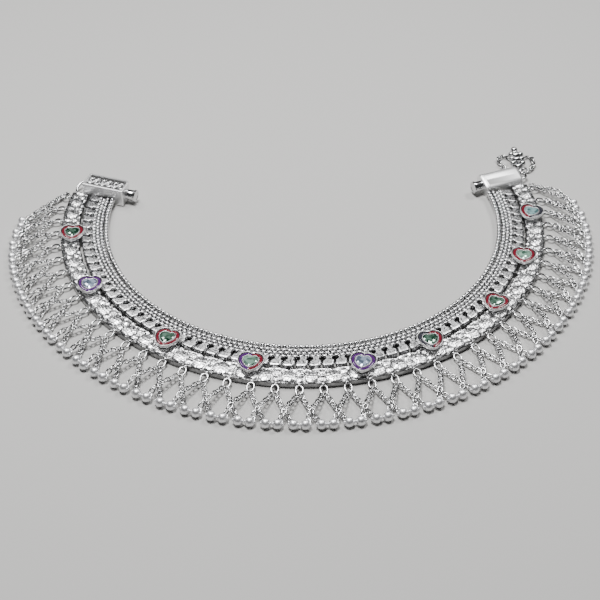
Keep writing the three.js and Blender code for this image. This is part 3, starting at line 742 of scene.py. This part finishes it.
def tab_row():
    """The pierced row: flat frosted tabs with rounded outer corners, thin slits and square holes."""
    band = settings("band")
    pitch_angle = 2 * band.half_sweep / band.tabs
    radius, angle, height, rim = tab_shape(band, pitch_angle)
    columns, rows = angle.shape
    radius = np.broadcast_to(radius, angle.shape)
    border = [(i, 0) for i in range(columns)] + [(columns - 1, j) for j in range(1, rows)]
    border += [(i, rows - 1) for i in range(columns - 2, -1, -1)] + [(0, j) for j in range(rows - 2, 0, -1)]
    flat = [i * rows + j for i, j in border]
    faces = grid_faces(columns, rows)
    top_count = columns * rows
    skirt = len(flat)
    for i in range(skirt):
        j = (i + 1) % skirt
        faces.append((flat[j], flat[i], top_count + i, top_count + j))
    faces.append(tuple(top_count + i for i in range(skirt)))
    shapes, reliefs = [], []
    for k in range(band.tabs):
        middle = -band.half_sweep + (k + 0.5) * pitch_angle
        top = on_band(radius, angle + middle, height).reshape(-1, 3)
        low = top[flat].copy()
        low[:, 2] -= 0.0008
        shapes.append((np.concatenate([top, low]), faces))
        # Painted shade: the tab's edges and outer end are darkened, its side walls most, so that the slits
        # read dark.
        reliefs.append(np.concatenate([0.35 + 0.65 * rim.reshape(-1), np.full(skirt, 0.05)]))
    relief = np.concatenate(reliefs)
    nodes = ["woven_band"]
    return dress("tab_row", merged(shapes), "granulated_silver", "frosted_silver", nodes, relief=relief)


def knot_rows():
    """Three staggered rows of small rounded knots on a plain backing."""
    band = settings("band")
    inner = inner_radius() + band.edge_bead + band.edge_gap
    outer = inner + band.rows_width
    knot = ball(10, 7)
    shapes = []
    count = band.knots
    step = 2 * band.half_sweep / count
    for row in range(3):
        radius = inner + (row + 0.5) * band.rows_width / 3
        odd = row % 2
        angles = flared(-band.half_sweep + (np.arange(count - odd) + 0.5 + 0.5 * odd) * step, radius)
        rng = np.random.default_rng(20 + row)
        lift = band_top(radius) - TAB_DROP + rng.normal(0, 0.00003, len(angles))
        sizes = (band.rows_width / 5.5, radius * step / 1.95, 0.0005)
        shapes.append(copies(knot, polar(radius, angles, lift), axes_at(angles, sizes)))
    angles = np.linspace(-band.half_sweep, band.half_sweep, 280)
    profile = [(inner, -0.0006), (outer, -0.0006), (outer, -0.0014), (inner, -0.0014)]
    backing = loft(np.stack([on_band(r, angles, band_top(r) + z) for r, z in profile], 1))
    shapes.append(backing)
    points, faces = merged(shapes)
    knots_end = len(points) - len(backing[0])
    # Painted shade: the knots darken toward their feet and the backing is fully dark, for the gaps between
    # them.
    above = points[:, 2] - band_top(np.hypot(points[:, 0] - CENTRE_X, points[:, 1] - CENTRE_Y))
    relief = np.clip((above + 0.0006) / 0.0005, 0, 1)
    relief[knots_end:] = 0
    return dress("knot_rows", (points, faces), "woven_silver", "frosted_silver", relief=relief)


def edge_beads():
    """Small bright beads on a wire along the inner edge."""
    band = settings("band")
    radius = inner_radius() + band.edge_bead / 2
    height = band_top(radius) - band.edge_bead / 2 + 0.0001
    step = 2 * band.half_sweep / band.knots
    angles = flared(-band.half_sweep + (np.arange(band.knots) + 0.5) * step, radius)
    size = band.edge_bead / 2
    beads = copies(ball(14, 9), polar(radius, angles, height), axes_at(angles, (size, size * 0.98, size)))
    turns = np.linspace(-band.half_sweep, band.half_sweep, 260)
    wire = []
    for spin in np.linspace(0, 2 * math.pi, 8, endpoint=False):
        wire.append(on_band(radius + 0.0003 * math.cos(spin), turns, height + 0.0003 * math.sin(spin)))
    points, faces = merged([beads, loft(np.stack(wire, 1))])
    # Painted shade: the beads and their wire darken toward their undersides.
    relief = np.clip((points[:, 2] - height + size) / (size * 1.1), 0.1, 1)
    return dress("edge_beads", (points, faces), "edge_silver", "satin_silver", ["beaded_edge"], relief=relief)


# The fringe.


def fringe_shape(angle):
    degrees = math.degrees(angle)
    reach = np.interp(degrees, FRINGE_ANGLES, FRINGE_REACHES)
    slide = np.interp(degrees, FRINGE_ANGLES, FRINGE_SLIDES)
    return float(reach), float(slide)


def swag_bottom(k):
    band, fringe = settings("band"), settings("fringe")
    middle = ring_angle(k + 1)
    reach, slide = fringe_shape(middle)
    radius = band.outer_radius + fringe.reach * reach
    slid = fringe.drift * (math.sin(middle) + math.copysign(slide, middle)) / radius
    return radius, middle - slid


def swag_end(k, side):
    """Radius, angle and height where a leg leaves its ring, or the clasp's loop past the last ring."""
    band, fringe = settings("band"), settings("fringe")
    end = float(flared(band.half_sweep, band.outer_radius))
    if k < 0:
        radius = band.outer_radius + 0.0019
        return radius, -end - 0.0005 / radius, CHAIN_HEIGHT
    if k >= fringe.rings:
        radius = band.outer_radius + 0.0016
        return radius, end + 0.0009 / radius, CHAIN_HEIGHT
    radius = band.outer_radius + fringe.wall_gap + fringe.ring_length * 0.92
    return radius, ring_angle(k) + side * 0.0004 / radius, 0.00115


def swag_legs(k):
    """The two legs of a swag from ring to bead, and its two bead places, as points."""
    fringe = settings("fringe")
    radius, bottom = swag_bottom(k)
    spread = 0.43 * (swag_bottom(k + 1)[1] - swag_bottom(k - 1)[1]) / 4
    chain, ball_radius = CHAIN_HEIGHT, fringe.bead / 2
    legs, beads = [], []
    for side, end, rise in ((-1, swag_end(k, 1), 0), (1, swag_end(k + 2, -1), fringe.crossing_rise)):
        target = bottom + side * spread
        stops = []
        for share, lift in ((0, 0), (0.28, 0.45), (0.6, 1), (0.87, 0.5)):
            stops.append(
                polar(
                    end[0] + (radius - end[0]) * share,
                    end[1] + (target - end[1]) * share,
                    end[2] + (chain - end[2]) * share + rise * lift,
                )
            )
        stops.append(polar(radius, target + side * 0.6 * ball_radius / radius, ball_radius))
        legs.append(smooth_path(stops, 10))
        beads.append((radius, target))
    return legs, beads


def swag_range():
    return range(-1, settings("fringe").rings - 1)


def fringe_chains():
    """Every swag's chain, link by link, down to its two beads."""
    fringe = settings("fringe")
    link = oval_link(fringe.link_length, fringe.link_width, fringe.link_wire, 14, 6)
    origins, axes = [], []
    for k in swag_range():
        for leg in swag_legs(k)[0]:
            places, turned = chain_links(leg, fringe, fringe.link_roll, start=k)
            origins.append(places)
            axes.append(turned)
    first = [polar(*swag_end(-1, 1)), polar(*swag_end(0, 1))]
    places, turned = chain_links(smooth_path(first, 10), fringe, fringe.link_roll)
    origins.append(places)
    axes.append(turned)
    points, faces = copies(link, np.concatenate(origins), np.concatenate(axes))
    # Painted shade: the links darken toward the floor.
    relief = np.clip((points[:, 2] - 0.0001) / 0.0009, 0.25, 1)
    nodes = ["chain_fringe"]
    return dress("fringe_chains", (points, faces), "chain_silver", "bright_silver", nodes, relief=relief)


def jump_rings():
    """The oval rings that hang the swags, each hooked over the strip's rim by a small soldered loop."""
    band, fringe = settings("band"), settings("fringe")
    ring = oval_link(fringe.ring_length, fringe.ring_width, fringe.ring_wire, 24, 8)
    solder = ball(8, 6)
    angles = np.array([ring_angle(k) for k in range(fringe.rings)])
    tilt = math.asin((fringe.ring_height - CHAIN_HEIGHT) / (fringe.ring_length - fringe.ring_wire))
    axes = axes_at(angles, (1, 1, 1))
    down = axes[:, 0] * math.cos(tilt) - axes[:, 2] * math.sin(tilt)
    up = axes[:, 2] * math.cos(tilt) + axes[:, 0] * math.sin(tilt)
    tilted = np.stack([down, axes[:, 1], up], 1)
    middle = band.outer_radius + fringe.wall_gap + fringe.ring_length / 2
    rings = copies(ring, polar(middle, angles, (fringe.ring_height + CHAIN_HEIGHT) / 2), tilted)
    spot = polar(band.outer_radius + 0.00015, angles, fringe.ring_height)
    spots = copies(solder, spot, axes_at(angles, (0.0005, 0.00065, 0.00042)))
    points, faces = merged([rings, spots])
    # Painted shade: the rings and solder spots darken toward the floor.
    relief = np.clip((points[:, 2] - 0.0002) / 0.0009, 0.3, 1)
    return dress("jump_rings", (points, faces), "chain_silver", "bright_silver", relief=relief)


def fringe_beads():
    """Two satin beads at the bottom of each swag, with a collar at either side."""
    fringe = settings("fringe")
    size = fringe.bead / 2
    places = [bead for k in swag_range() for bead in swag_legs(k)[1]]
    radii = np.array([radius for radius, _ in places])
    angles = np.array([angle for _, angle in places])
    beads = copies(ball(22, 14), polar(radii, angles, size), axes_at(angles, (size, size * 0.97, size)))
    collars = []
    for side in (-1, 1):
        shifted = angles + side * size * 0.93 / radii
        axes = axes_at(shifted, (0.00055, 0.0003, 0.00055))
        collars.append(copies(ball(12, 8), polar(radii, shifted, size), axes))
    points, faces = merged([beads] + collars)
    # Painted shade: the beads and collars darken toward the floor.
    relief = np.clip((points[:, 2] - 0.0002) / 0.0012, 0.3, 1)
    return dress("fringe_beads", (points, faces), "satin_silver", "satin_silver", relief=relief)


# The hearts.


def heart_outline(scale, count):
    hearts = settings("hearts")
    spin = np.linspace(0, 2 * math.pi, count, endpoint=False)
    x = np.sin(spin) * np.abs(np.sin(spin)) ** hearts.plumpness / 2
    notch = hearts.notch * np.exp(-((np.minimum(spin, 2 * math.pi - spin) / NOTCH_SPREAD) ** 2))
    y = np.cos(spin) / 2 - HEART_TAPER * np.cos(2 * spin) + HEART_LIFT - notch
    return np.stack([scale * hearts.width * x, scale * hearts.height * y], 1)


def heart_place(heart):
    """Turns flat points of a heart into the frame: a function of x, y and height."""
    band, hearts = settings("band"), settings("hearts")
    radius = band.outer_radius - heart["place"]
    base = band_top(radius) + 0.00075 + hearts.seat
    origin = polar(radius, math.radians(heart["angle"]), base)
    tip = -math.radians(heart["turn"])
    turned = np.array([[math.cos(tip), math.sin(tip)], [-math.sin(tip), math.cos(tip)]])

    def placed(flat, height):
        flat = flat @ turned
        return np.column_stack([flat + origin[:2], np.full(len(flat), origin[2] + height)])

    return placed


def heart_setting(index, heart):
    """Silver cup with a double rim, grooves and a foot band painted dark as shade, and an enamel bed in two
    colours where they meet.
    """
    hearts = settings("hearts")
    placed = heart_place(heart)
    count = 64
    rise = hearts.rise
    # Each level: share of the outline, share of the rise, paint: 0 silver, 1 painted shade, 2 enamel.
    levels = (
        (0.98, 0.0, 1),
        (0.985, 0.2, 1),
        (1.0, 0.25, 0),
        (1.0, 0.64, 0),
        (0.985, 0.74, 0),
        (0.965, 0.76, 0),
        (0.945, 0.72, 0),
        (0.94, 0.56, 1),
        (0.87, 0.56, 1),
        (0.865, 0.66, 2),
        (0.8, 0.71, 2),
        (0.7, 0.73, 2),
        (0.67, 0.7, 2),
        (0.665, 0.6, 1),
        (0.625, 0.6, 1),
        (0.62, 0.76, 0),
        (0.6, 0.8, 0),
        (0.58, 0.78, 0),
        (0.575, 0.7, 1),
        (0.4, 0.66, 1),
    )
    points = np.concatenate([placed(heart_outline(scale, count), high * rise) for scale, high, _ in levels])
    faces, paint = [], []
    for i in range(len(levels) - 1):
        for j in range(count):
            k = (j + 1) % count
            faces.append((i * count + j, i * count + k, (i + 1) * count + k, (i + 1) * count + j))
            band_paint = levels[i + 1][2]
            paint.append(3 if band_paint == 2 and j < count / 2 else band_paint)
    faces.append(tuple(reversed(range(count))))
    paint.append(0)
    faces.append(tuple((len(levels) - 1) * count + i for i in range(count)))
    paint.append(1)
    left = enamel(heart["left"] + "_enamel", getattr(hearts, heart["left"]))
    right = enamel(heart["right"] + "_enamel", getattr(hearts, heart["right"]))
    materials = [silver("brushed_silver"), silver("shadow_silver"), left, right]
    piece = make_object(f"heart_{index}_setting", points, faces, materials, face_material=paint)
    return finish_piece(piece, [f"heart_setting_{index}"])


def heart_stone(index, heart):
    """A cut stone: a girdle, a ring of kite facets and a flat table."""
    hearts = settings("hearts")
    placed = heart_place(heart)
    count = 20
    rings = (
        placed(heart_outline(0.575, count), 0.7 * hearts.rise),
        placed(heart_outline(0.56, count), 0.8 * hearts.rise),
        placed(np.roll(heart_outline(0.42, count * 2), -1, axis=0)[::2], 0.93 * hearts.rise),
        placed(heart_outline(0.26, count), hearts.rise),
    )
    points = np.concatenate(rings)
    faces = []
    for i in range(count):
        j = (i + 1) % count
        faces.append((i, j, count + j, count + i))
        faces.append((count + i, count + j, 2 * count + i))
        faces.append((count + j, 2 * count + j, 2 * count + i))
        faces.append((2 * count + i, 2 * count + j, 3 * count + j))
        faces.append((2 * count + i, 3 * count + j, 3 * count + i))
    faces.append(tuple(3 * count + i for i in range(count)))
    faces.append(tuple(reversed(range(count))))
    stone = heart["stone"]
    shade = cut_stone(stone + "_stone", getattr(hearts, stone))
    piece = make_object(f"heart_{index}_stone", points, faces, [shade], smooth=False)
    return finish_piece(piece)


# The clasp.


class BoxPlace:
    """The place of a clasp box: X outward from its inner end, Y away from the band's end, Z up."""

    def __init__(self, side, width, offset):
        band, clasp = settings("band"), settings("clasp")
        middle = (band.outer_radius + inner_radius()) / 2
        turned = side * (band.half_sweep + band.flare)
        self.x = outward(turned)
        self.y = around(turned) * side
        start = (inner_radius() + offset - middle) / math.cos(band.flare)
        end = polar(middle, side * band.half_sweep, 0.0)
        self.origin = end + self.x * start + self.y * (clasp.band_gap + width / 2)

    def __call__(self, points):
        points = np.asarray(points, float)
        flat = points[:, :1] * self.x + points[:, 1:2] * self.y
        return self.origin + flat + np.column_stack([np.zeros((len(points), 2)), points[:, 2]])


def left_place():
    clasp = settings("clasp")
    return BoxPlace(-1, clasp.left_width, clasp.left_offset)


def right_place():
    clasp = settings("clasp")
    return BoxPlace(1, clasp.right_width, clasp.right_offset)


def rounded_outline(long, wide, corner, small, shrink):
    """A rectangle from X 0 to long with one large rounded corner at its inner back, shrunk all round."""
    corners = (
        (0, -wide / 2, small, 180),
        (long, -wide / 2, small, 270),
        (long, wide / 2, small, 0),
        (0, wide / 2, corner, 90),
    )
    points = []
    for x, y, radius, start in corners:
        radius = max(radius - shrink, 0.00008)
        cx = x + shrink + radius if x == 0 else x - shrink - radius
        cy = y + shrink + radius if y < 0 else y - shrink - radius
        for i in range(7):
            spin = math.radians(start + 15 * i)
            points.append((cx + radius * math.cos(spin), cy + radius * math.sin(spin)))
    return np.array(points)


def level(outline, height):
    return np.column_stack([outline, np.full(len(outline), height)])


def left_box():
    """A plain box with bevelled edges and a sunk panel on top."""
    clasp = settings("clasp")
    long, wide, high = clasp.left_length, clasp.left_width, clasp.left_height
    bevel = 0.00025
    rings = []
    for shrink, height in (
        (bevel, 0),
        (0, bevel),
        (0, high - bevel),
        (bevel * 0.3, high - bevel * 0.3),
        (bevel, high),
        (clasp.panel_margin - 0.00012, high),
        (clasp.panel_margin, high - 0.00012),
        (clasp.panel_margin, high - clasp.panel_depth),
    ):
        rings.append(level(rounded_outline(long, wide, clasp.corner, 0.0003, shrink), height))
    points, faces = loft(rings)
    relief = np.ones(len(points))
    # Painted shade: the lowest band of the box is marked half dark, near the floor.
    relief[points[:, 2] < 0.0008] = 0.5
    shape = (left_place()(points), faces)
    nodes = ["clasp_box_left"]
    return dress("left_box", shape, "brushed_silver", "brushed_silver", nodes, smooth=False, relief=relief)


def scroll_panel():
    """A traditional scroll of waving stems and curls, raised from the floor of the sunk panel."""
    clasp = settings("clasp")
    margin = clasp.panel_margin
    long, wide = clasp.left_length - 2 * margin, clasp.left_width - 2 * margin
    columns, rows = 150, 52
    x = np.linspace(0, long, columns)[:, None] + np.zeros((1, rows))
    y = np.linspace(-wide / 2, wide / 2, rows)[None, :] + np.zeros((columns, 1))
    period = long / 3
    strokes = []
    t = np.linspace(0, long, 160)
    strokes.append(np.stack([t, 0.30 * wide * np.sin(2 * math.pi * t / period)], 1))
    for k in range(6):
        spin = np.linspace(0, 1.2 * 2 * math.pi, 60)
        sign = 1 if k % 2 == 0 else -1
        reach = 0.3 * wide * (1 - spin / spin[-1] * 0.72)
        cx = (k + 0.5) * period / 2
        curl = sign * (reach * np.sin(spin) - 0.1 * wide)
        strokes.append(np.stack([cx + reach * np.cos(spin), curl], 1))
    stems = np.concatenate(strokes)
    gap = np.full(x.shape, 1.0)
    for px, py in stems:
        gap = np.minimum(gap, np.hypot(x - px, y - py))
    height = 0.0002 * np.sqrt(np.clip(1 - (gap / 0.0002) ** 2, 0, 1))
    floor = clasp.left_height - clasp.panel_depth + 0.00002
    corner = np.clip((clasp.corner - margin) - x, 0, 1)
    back = np.clip(y - (wide / 2 - (clasp.corner - margin)), 0, 1)
    outside = np.hypot(corner, back) > (clasp.corner - margin)
    height = np.where(outside, -0.0003, height)
    points = np.stack([x + margin, y, floor + height], -1).reshape(-1, 3)
    # The panel floor between the stems is darkened, as tarnished patina and painted shade.
    relief = np.clip(height / 0.0002, 0, 1).reshape(-1)
    shape = (left_place()(points), grid_faces(columns, rows))
    return dress("scroll_panel", shape, "scroll_silver", "brushed_silver", relief=relief)


def right_profile(scale):
    """Section of the right box: low front, slope up to the top, rounded back."""
    clasp = settings("clasp")
    half, high, back = clasp.right_width / 2, clasp.right_height, clasp.right_back
    points = [(-half + 0.0002, 0), (half - 0.0002, 0), (half, 0.0002), (half, high - back)]
    for i in range(1, 9):
        spin = math.radians(90 * i / 8)
        points.append((half - back + back * math.cos(spin), high - back + back * math.sin(spin)))
    slope_top = (-half + clasp.right_bevel, clasp.right_front + clasp.right_bevel)
    for i in range(1, 6):
        share = i / 6
        crown = 0.00012 * math.sin(math.pi * share)
        points.append(
            (
                (half - back) + (slope_top[0] - half + back) * share,
                high + (slope_top[1] - high) * share + crown,
            )
        )
    points += [slope_top, (-half, clasp.right_front)]
    points.append((-half, 0.0002))
    return np.array(points) * scale


def right_box():
    clasp = settings("clasp")
    long = clasp.right_length
    rings = []
    for x, scale in (
        (0, 0.94),
        (0.0004, 0.985),
        (0.0007, 1),
        (0.0013, 1),
        (0.0014, 0.985),
        (long * 0.915, 0.985),
        (long * 0.95, 0.95),
        (long * 0.98, 0.87),
        (long, 0.72),
    ):
        section = right_profile(scale)
        rings.append(np.column_stack([np.full(len(section), x), section]))
    points, faces = loft(rings)
    piece = make_object("right_box", right_place()(points), faces, [silver("brushed_silver")])
    split_edges(piece, 38)
    return finish_piece(piece, ["clasp_box_right"])


def loop_reach(width):
    """How far the middle of a loop stands out from the end of its box."""
    clasp = settings("clasp")
    return width / 2 - clasp.loop_wire * clasp.loop_sunk


def clasp_loops():
    clasp = settings("clasp")
    left, faces = oval_link(clasp.left_loop_width, clasp.left_loop, clasp.loop_wire, 36, 12)
    lean = clasp.left_loop_lean
    back, up = left[:, 1].copy(), left[:, 2].copy()
    left[:, 1] = back * math.cos(lean) - up * math.sin(lean)
    left[:, 2] = back * math.sin(lean) + up * math.cos(lean)
    left += [clasp.left_length + loop_reach(clasp.left_loop_width), 0, clasp.left_loop_height]
    right, _ = oval_link(clasp.right_loop, clasp.right_loop, clasp.loop_wire, 36, 12)
    reach = clasp.right_length + loop_reach(clasp.right_loop)
    right += [reach, clasp.right_loop_back, clasp.right_loop_height]
    shape = merged([(left_place()(left), faces), (right_place()(right), faces)])
    return dress("clasp_loops", shape, "chain_silver", "bright_silver")


def clasp_pin(name, place, node):
    """A turned pin: a shaft, a shallow neck and a polished end with a dished face."""
    clasp = settings("clasp")
    shaft, end = clasp.pin / 2, clasp.flange / 2
    tip, root = -clasp.pin_reach, 0.00105
    profile = (
        (root, shaft * 0.96),
        (0.0, shaft),
        (tip + clasp.flange_thickness + 0.0003, shaft),
        (tip + clasp.flange_thickness + 0.0001, shaft * 0.93),
        (tip + clasp.flange_thickness, end * 0.96),
        (tip + clasp.flange_thickness - 0.0001, end),
        (tip + 0.00012, end),
        (tip, end * 0.94),
        (tip, end * 0.72),
        (tip + 0.00012, end * 0.66),
        (tip + 0.00012, end * 0.2),
    )
    rings = []
    for x, radius in profile:
        spin = np.linspace(0, 2 * math.pi, 36, endpoint=False)
        rings.append(
            np.stack([np.full(36, x), radius * np.cos(spin), clasp.pin_height + radius * np.sin(spin)], 1)
        )
    points, faces = loft(rings)
    piece = make_object(name, place(points), faces, [silver("mirror_silver")])
    split_edges(piece, 35)
    return finish_piece(piece, [node])


# The charm.


def charm_place(points):
    """From the charm's own axes, X away from the loop that holds it, to the frame."""
    clasp, charm = settings("clasp"), settings("charm")
    reach = clasp.right_loop / 2 - clasp.loop_wire / 2 + 0.00015
    lead, side = math.cos(charm.direction), math.sin(charm.direction)
    hung = clasp.right_length + loop_reach(clasp.right_loop)
    x = points[:, 0] * lead - points[:, 1] * side + hung + reach * lead
    y = points[:, 0] * side + points[:, 1] * lead + clasp.right_loop_back + reach * side
    return right_place()(np.column_stack([x, y, points[:, 2]]))


def charm_coil(along, aside, lean):
    """The links of one coiled chain."""
    charm, fringe = settings("charm"), settings("fringe")
    spin = np.linspace(0, 2 * math.pi, 80)
    x = (charm.coil_length - charm.coil_wire) / 2 * np.cos(spin)
    y = (charm.coil_width - charm.coil_wire) / 2 * np.sin(spin)
    curve = np.stack(
        [
            along + x * math.cos(lean) - y * math.sin(lean),
            aside + x * math.sin(lean) + y * math.cos(lean),
            np.full(80, charm.coil_wire / 2),
        ],
        1,
    )
    return chain_links(curve, fringe, math.radians(36))


def end_charm():
    """Two coiled chains and a cluster of beads, hung from the right box by one link."""
    clasp, charm, fringe = settings("clasp"), settings("charm"), settings("fringe")
    link = oval_link(charm.link, charm.link_width, charm.wire, 24, 8)
    upright = link[0][:, [0, 2, 1]] + np.array([0.0004, 0, clasp.right_loop_height])
    shapes = [(upright, [tuple(reversed(face)) for face in link[1]])]
    small = oval_link(fringe.link_length * 1.1, charm.coil_wire * 1.15, 0.0006, 14, 6)
    for coil in ((0.007, 0.0034, math.radians(14)), (0.0066, -0.0032, math.radians(-12))):
        shapes.append(copies(small, *charm_coil(*coil)))
    beads = [(along, 0, charm.bead) for along in (0.0034, 0.0076, 0.0102)]
    beads += [(along, 0, charm.top_bead) for along in (0.0123, 0.0143)]
    beads += [(along, side * 0.0016, 0.0021) for along in (0.0052, 0.0078, 0.0104) for side in (-1, 1)]
    for along, aside, size in beads:
        origin = np.array([[along, aside, size / 2 + (0.0009 if aside else 0)]])
        shapes.append(copies(ball(20, 12), origin, np.eye(3)[None] * size / 2))
    points, faces = merged(shapes)
    # Painted shade: the charm's links and beads darken toward the floor.
    relief = np.clip(points[:, 2] / 0.0012, 0.2, 1)
    shape = (charm_place(points), faces)
    return dress("end_charm", shape, "chain_silver", "bright_silver", ["end_charm"], relief=relief)


# Operators.


class BuildBand(bpy.types.Operator):
    """Build the relief strip, the pierced tabs, the knotted rows and the beaded inner edge"""

    bl_idname = "payal.build_band"
    bl_label = "Build band"

    def execute(self, context):
        relief_strip()
        tab_row()
        knot_rows()
        edge_beads()
        return {"FINISHED"}


class BuildFringe(bpy.types.Operator):
    """Build the jump rings, the chain swags and their beads"""

    bl_idname = "payal.build_fringe"
    bl_label = "Build fringe"

    def execute(self, context):
        fringe_chains()
        jump_rings()
        fringe_beads()
        return {"FINISHED"}


class BuildHearts(bpy.types.Operator):
    """Build the heart settings and their stones"""

    bl_idname = "payal.build_hearts"
    bl_label = "Build hearts"

    def execute(self, context):
        for index, heart in enumerate(HEARTS, 1):
            heart_setting(index, heart)
            heart_stone(index, heart)
        return {"FINISHED"}


class BuildClasp(bpy.types.Operator):
    """Build the two clasp boxes with their loops, pins and scroll panel"""

    bl_idname = "payal.build_clasp"
    bl_label = "Build clasp"

    def execute(self, context):
        left_box()
        scroll_panel()
        right_box()
        clasp_loops()
        clasp_pin("left_pin", left_place(), "clasp_pin_left")
        clasp_pin("right_pin", right_place(), "clasp_pin_right")
        return {"FINISHED"}


class BuildCharm(bpy.types.Operator):
    """Build the charm behind the right clasp box"""

    bl_idname = "payal.build_charm"
    bl_label = "Build charm"

    def execute(self, context):
        end_charm()
        return {"FINISHED"}


def add_light(name, place, target, size, power):
    light = bpy.data.lights.new(name, "AREA")
    light.shape = "DISK"
    light.size = size
    light.energy = power
    lamp = bpy.data.objects.new(name, light)
    lamp.location = place
    aim = np.asarray(target) - np.asarray(place)
    lamp.rotation_euler = aim_along(aim)
    bpy.context.scene.collection.objects.link(lamp)


def aim_along(direction):
    """Rotation that turns a light's or camera's view along a direction, its top kept up."""
    return Vector(direction).to_track_quat("-Z", "Y").to_euler()


class BuildStage(bpy.types.Operator):
    """Build the floor, the soft light and the camera"""

    bl_idname = "payal.build_stage"
    bl_label = "Build stage"

    def execute(self, context):
        stage = settings("stage")
        self.floor(stage)
        self.lights()
        self.camera(stage)
        return {"FINISHED"}

    def floor(self, stage):
        size = 3.0
        corners = [(-size, -size, 0), (size, -size, 0), (size, size, 0), (-size, size, 0)]
        material, shader = new_material("floor_paper")
        noise = material.node_tree.nodes.new("ShaderNodeTexNoise")
        noise.inputs["Scale"].default_value = 40
        shaded = [c * 0.97 for c in stage.floor[:3]] + [1]
        two_tone(material.node_tree, shader, noise.outputs["Fac"], stage.floor, shaded)
        shader.inputs["Roughness"].default_value = 0.9
        floor = make_object("floor", corners, [(0, 1, 2, 3)], [material])

    def lights(self):
        target = (0, 0, 0)
        add_light("key", (-0.08, 0.05, 0.58), target, 0.2, 5.2)
        add_light("fill", (0.3, 0.25, 0.52), target, 0.17, 2.2)
        add_light("back", (-0.3, 0.35, 0.5), target, 0.14, 1.2)
        world = bpy.data.worlds.new("soft_room")
        world.use_nodes = True
        world.node_tree.nodes["Background"].inputs["Color"].default_value = (0.9, 0.92, 0.95, 1)
        world.node_tree.nodes["Background"].inputs["Strength"].default_value = 0.04
        bpy.context.scene.world = world

    def camera(self, stage):
        camera = bpy.data.cameras.new("camera")
        camera.lens = stage.lens
        camera.sensor_width = 36
        camera.clip_start = 0.01
        view = bpy.data.objects.new("camera", camera)
        target = np.array([CENTRE_X + stage.look_x, CENTRE_Y + stage.look_y, 0.0])
        back = np.array(
            [
                math.sin(stage.azimuth) * math.cos(stage.elevation),
                -math.cos(stage.azimuth) * math.cos(stage.elevation),
                math.sin(stage.elevation),
            ]
        )
        view.location = target + back * stage.distance
        view.rotation_euler = aim_along(-back)
        bpy.context.scene.collection.objects.link(view)
        bpy.context.scene.camera = view


class PayalPanel(bpy.types.Panel):
    """Lists the build steps in the sidebar"""

    bl_idname = "VIEW3D_PT_payal"
    bl_label = "Payal anklet"
    bl_space_type = "VIEW_3D"
    bl_region_type = "UI"
    bl_category = "Payal"

    def draw(self, context):
        for name in GROUPS:
            box = self.layout.box()
            box.label(text=name.capitalize())
            for key in getattr(context.scene, "payal_" + name).bl_rna.properties.keys():
                if key not in ("rna_type", "name"):
                    box.prop(getattr(context.scene, "payal_" + name), key)
        for operator in BUILDERS:
            self.layout.operator(operator.bl_idname)


GROUPS = {
    "band": PayalBand,
    "fringe": PayalFringe,
    "hearts": PayalHearts,
    "clasp": PayalClasp,
    "charm": PayalCharm,
    "stage": PayalStage,
}
BUILDERS = (BuildBand, BuildFringe, BuildHearts, BuildClasp, BuildCharm, BuildStage)


def register():
    for name, group in GROUPS.items():
        bpy.utils.register_class(group)
        setattr(bpy.types.Scene, "payal_" + name, bpy.props.PointerProperty(type=group))
    for operator in BUILDERS:
        bpy.utils.register_class(operator)
    bpy.utils.register_class(PayalPanel)


def unregister():
    bpy.utils.unregister_class(PayalPanel)
    for operator in reversed(BUILDERS):
        bpy.utils.unregister_class(operator)
    for name, group in GROUPS.items():
        delattr(bpy.types.Scene, "payal_" + name)
        bpy.utils.unregister_class(group)


def main():
    register()
    for operator in BUILDERS:
        family, action = operator.bl_idname.split(".")
        getattr(getattr(bpy.ops, family), action)()


if __name__ == "__main__":
    main()
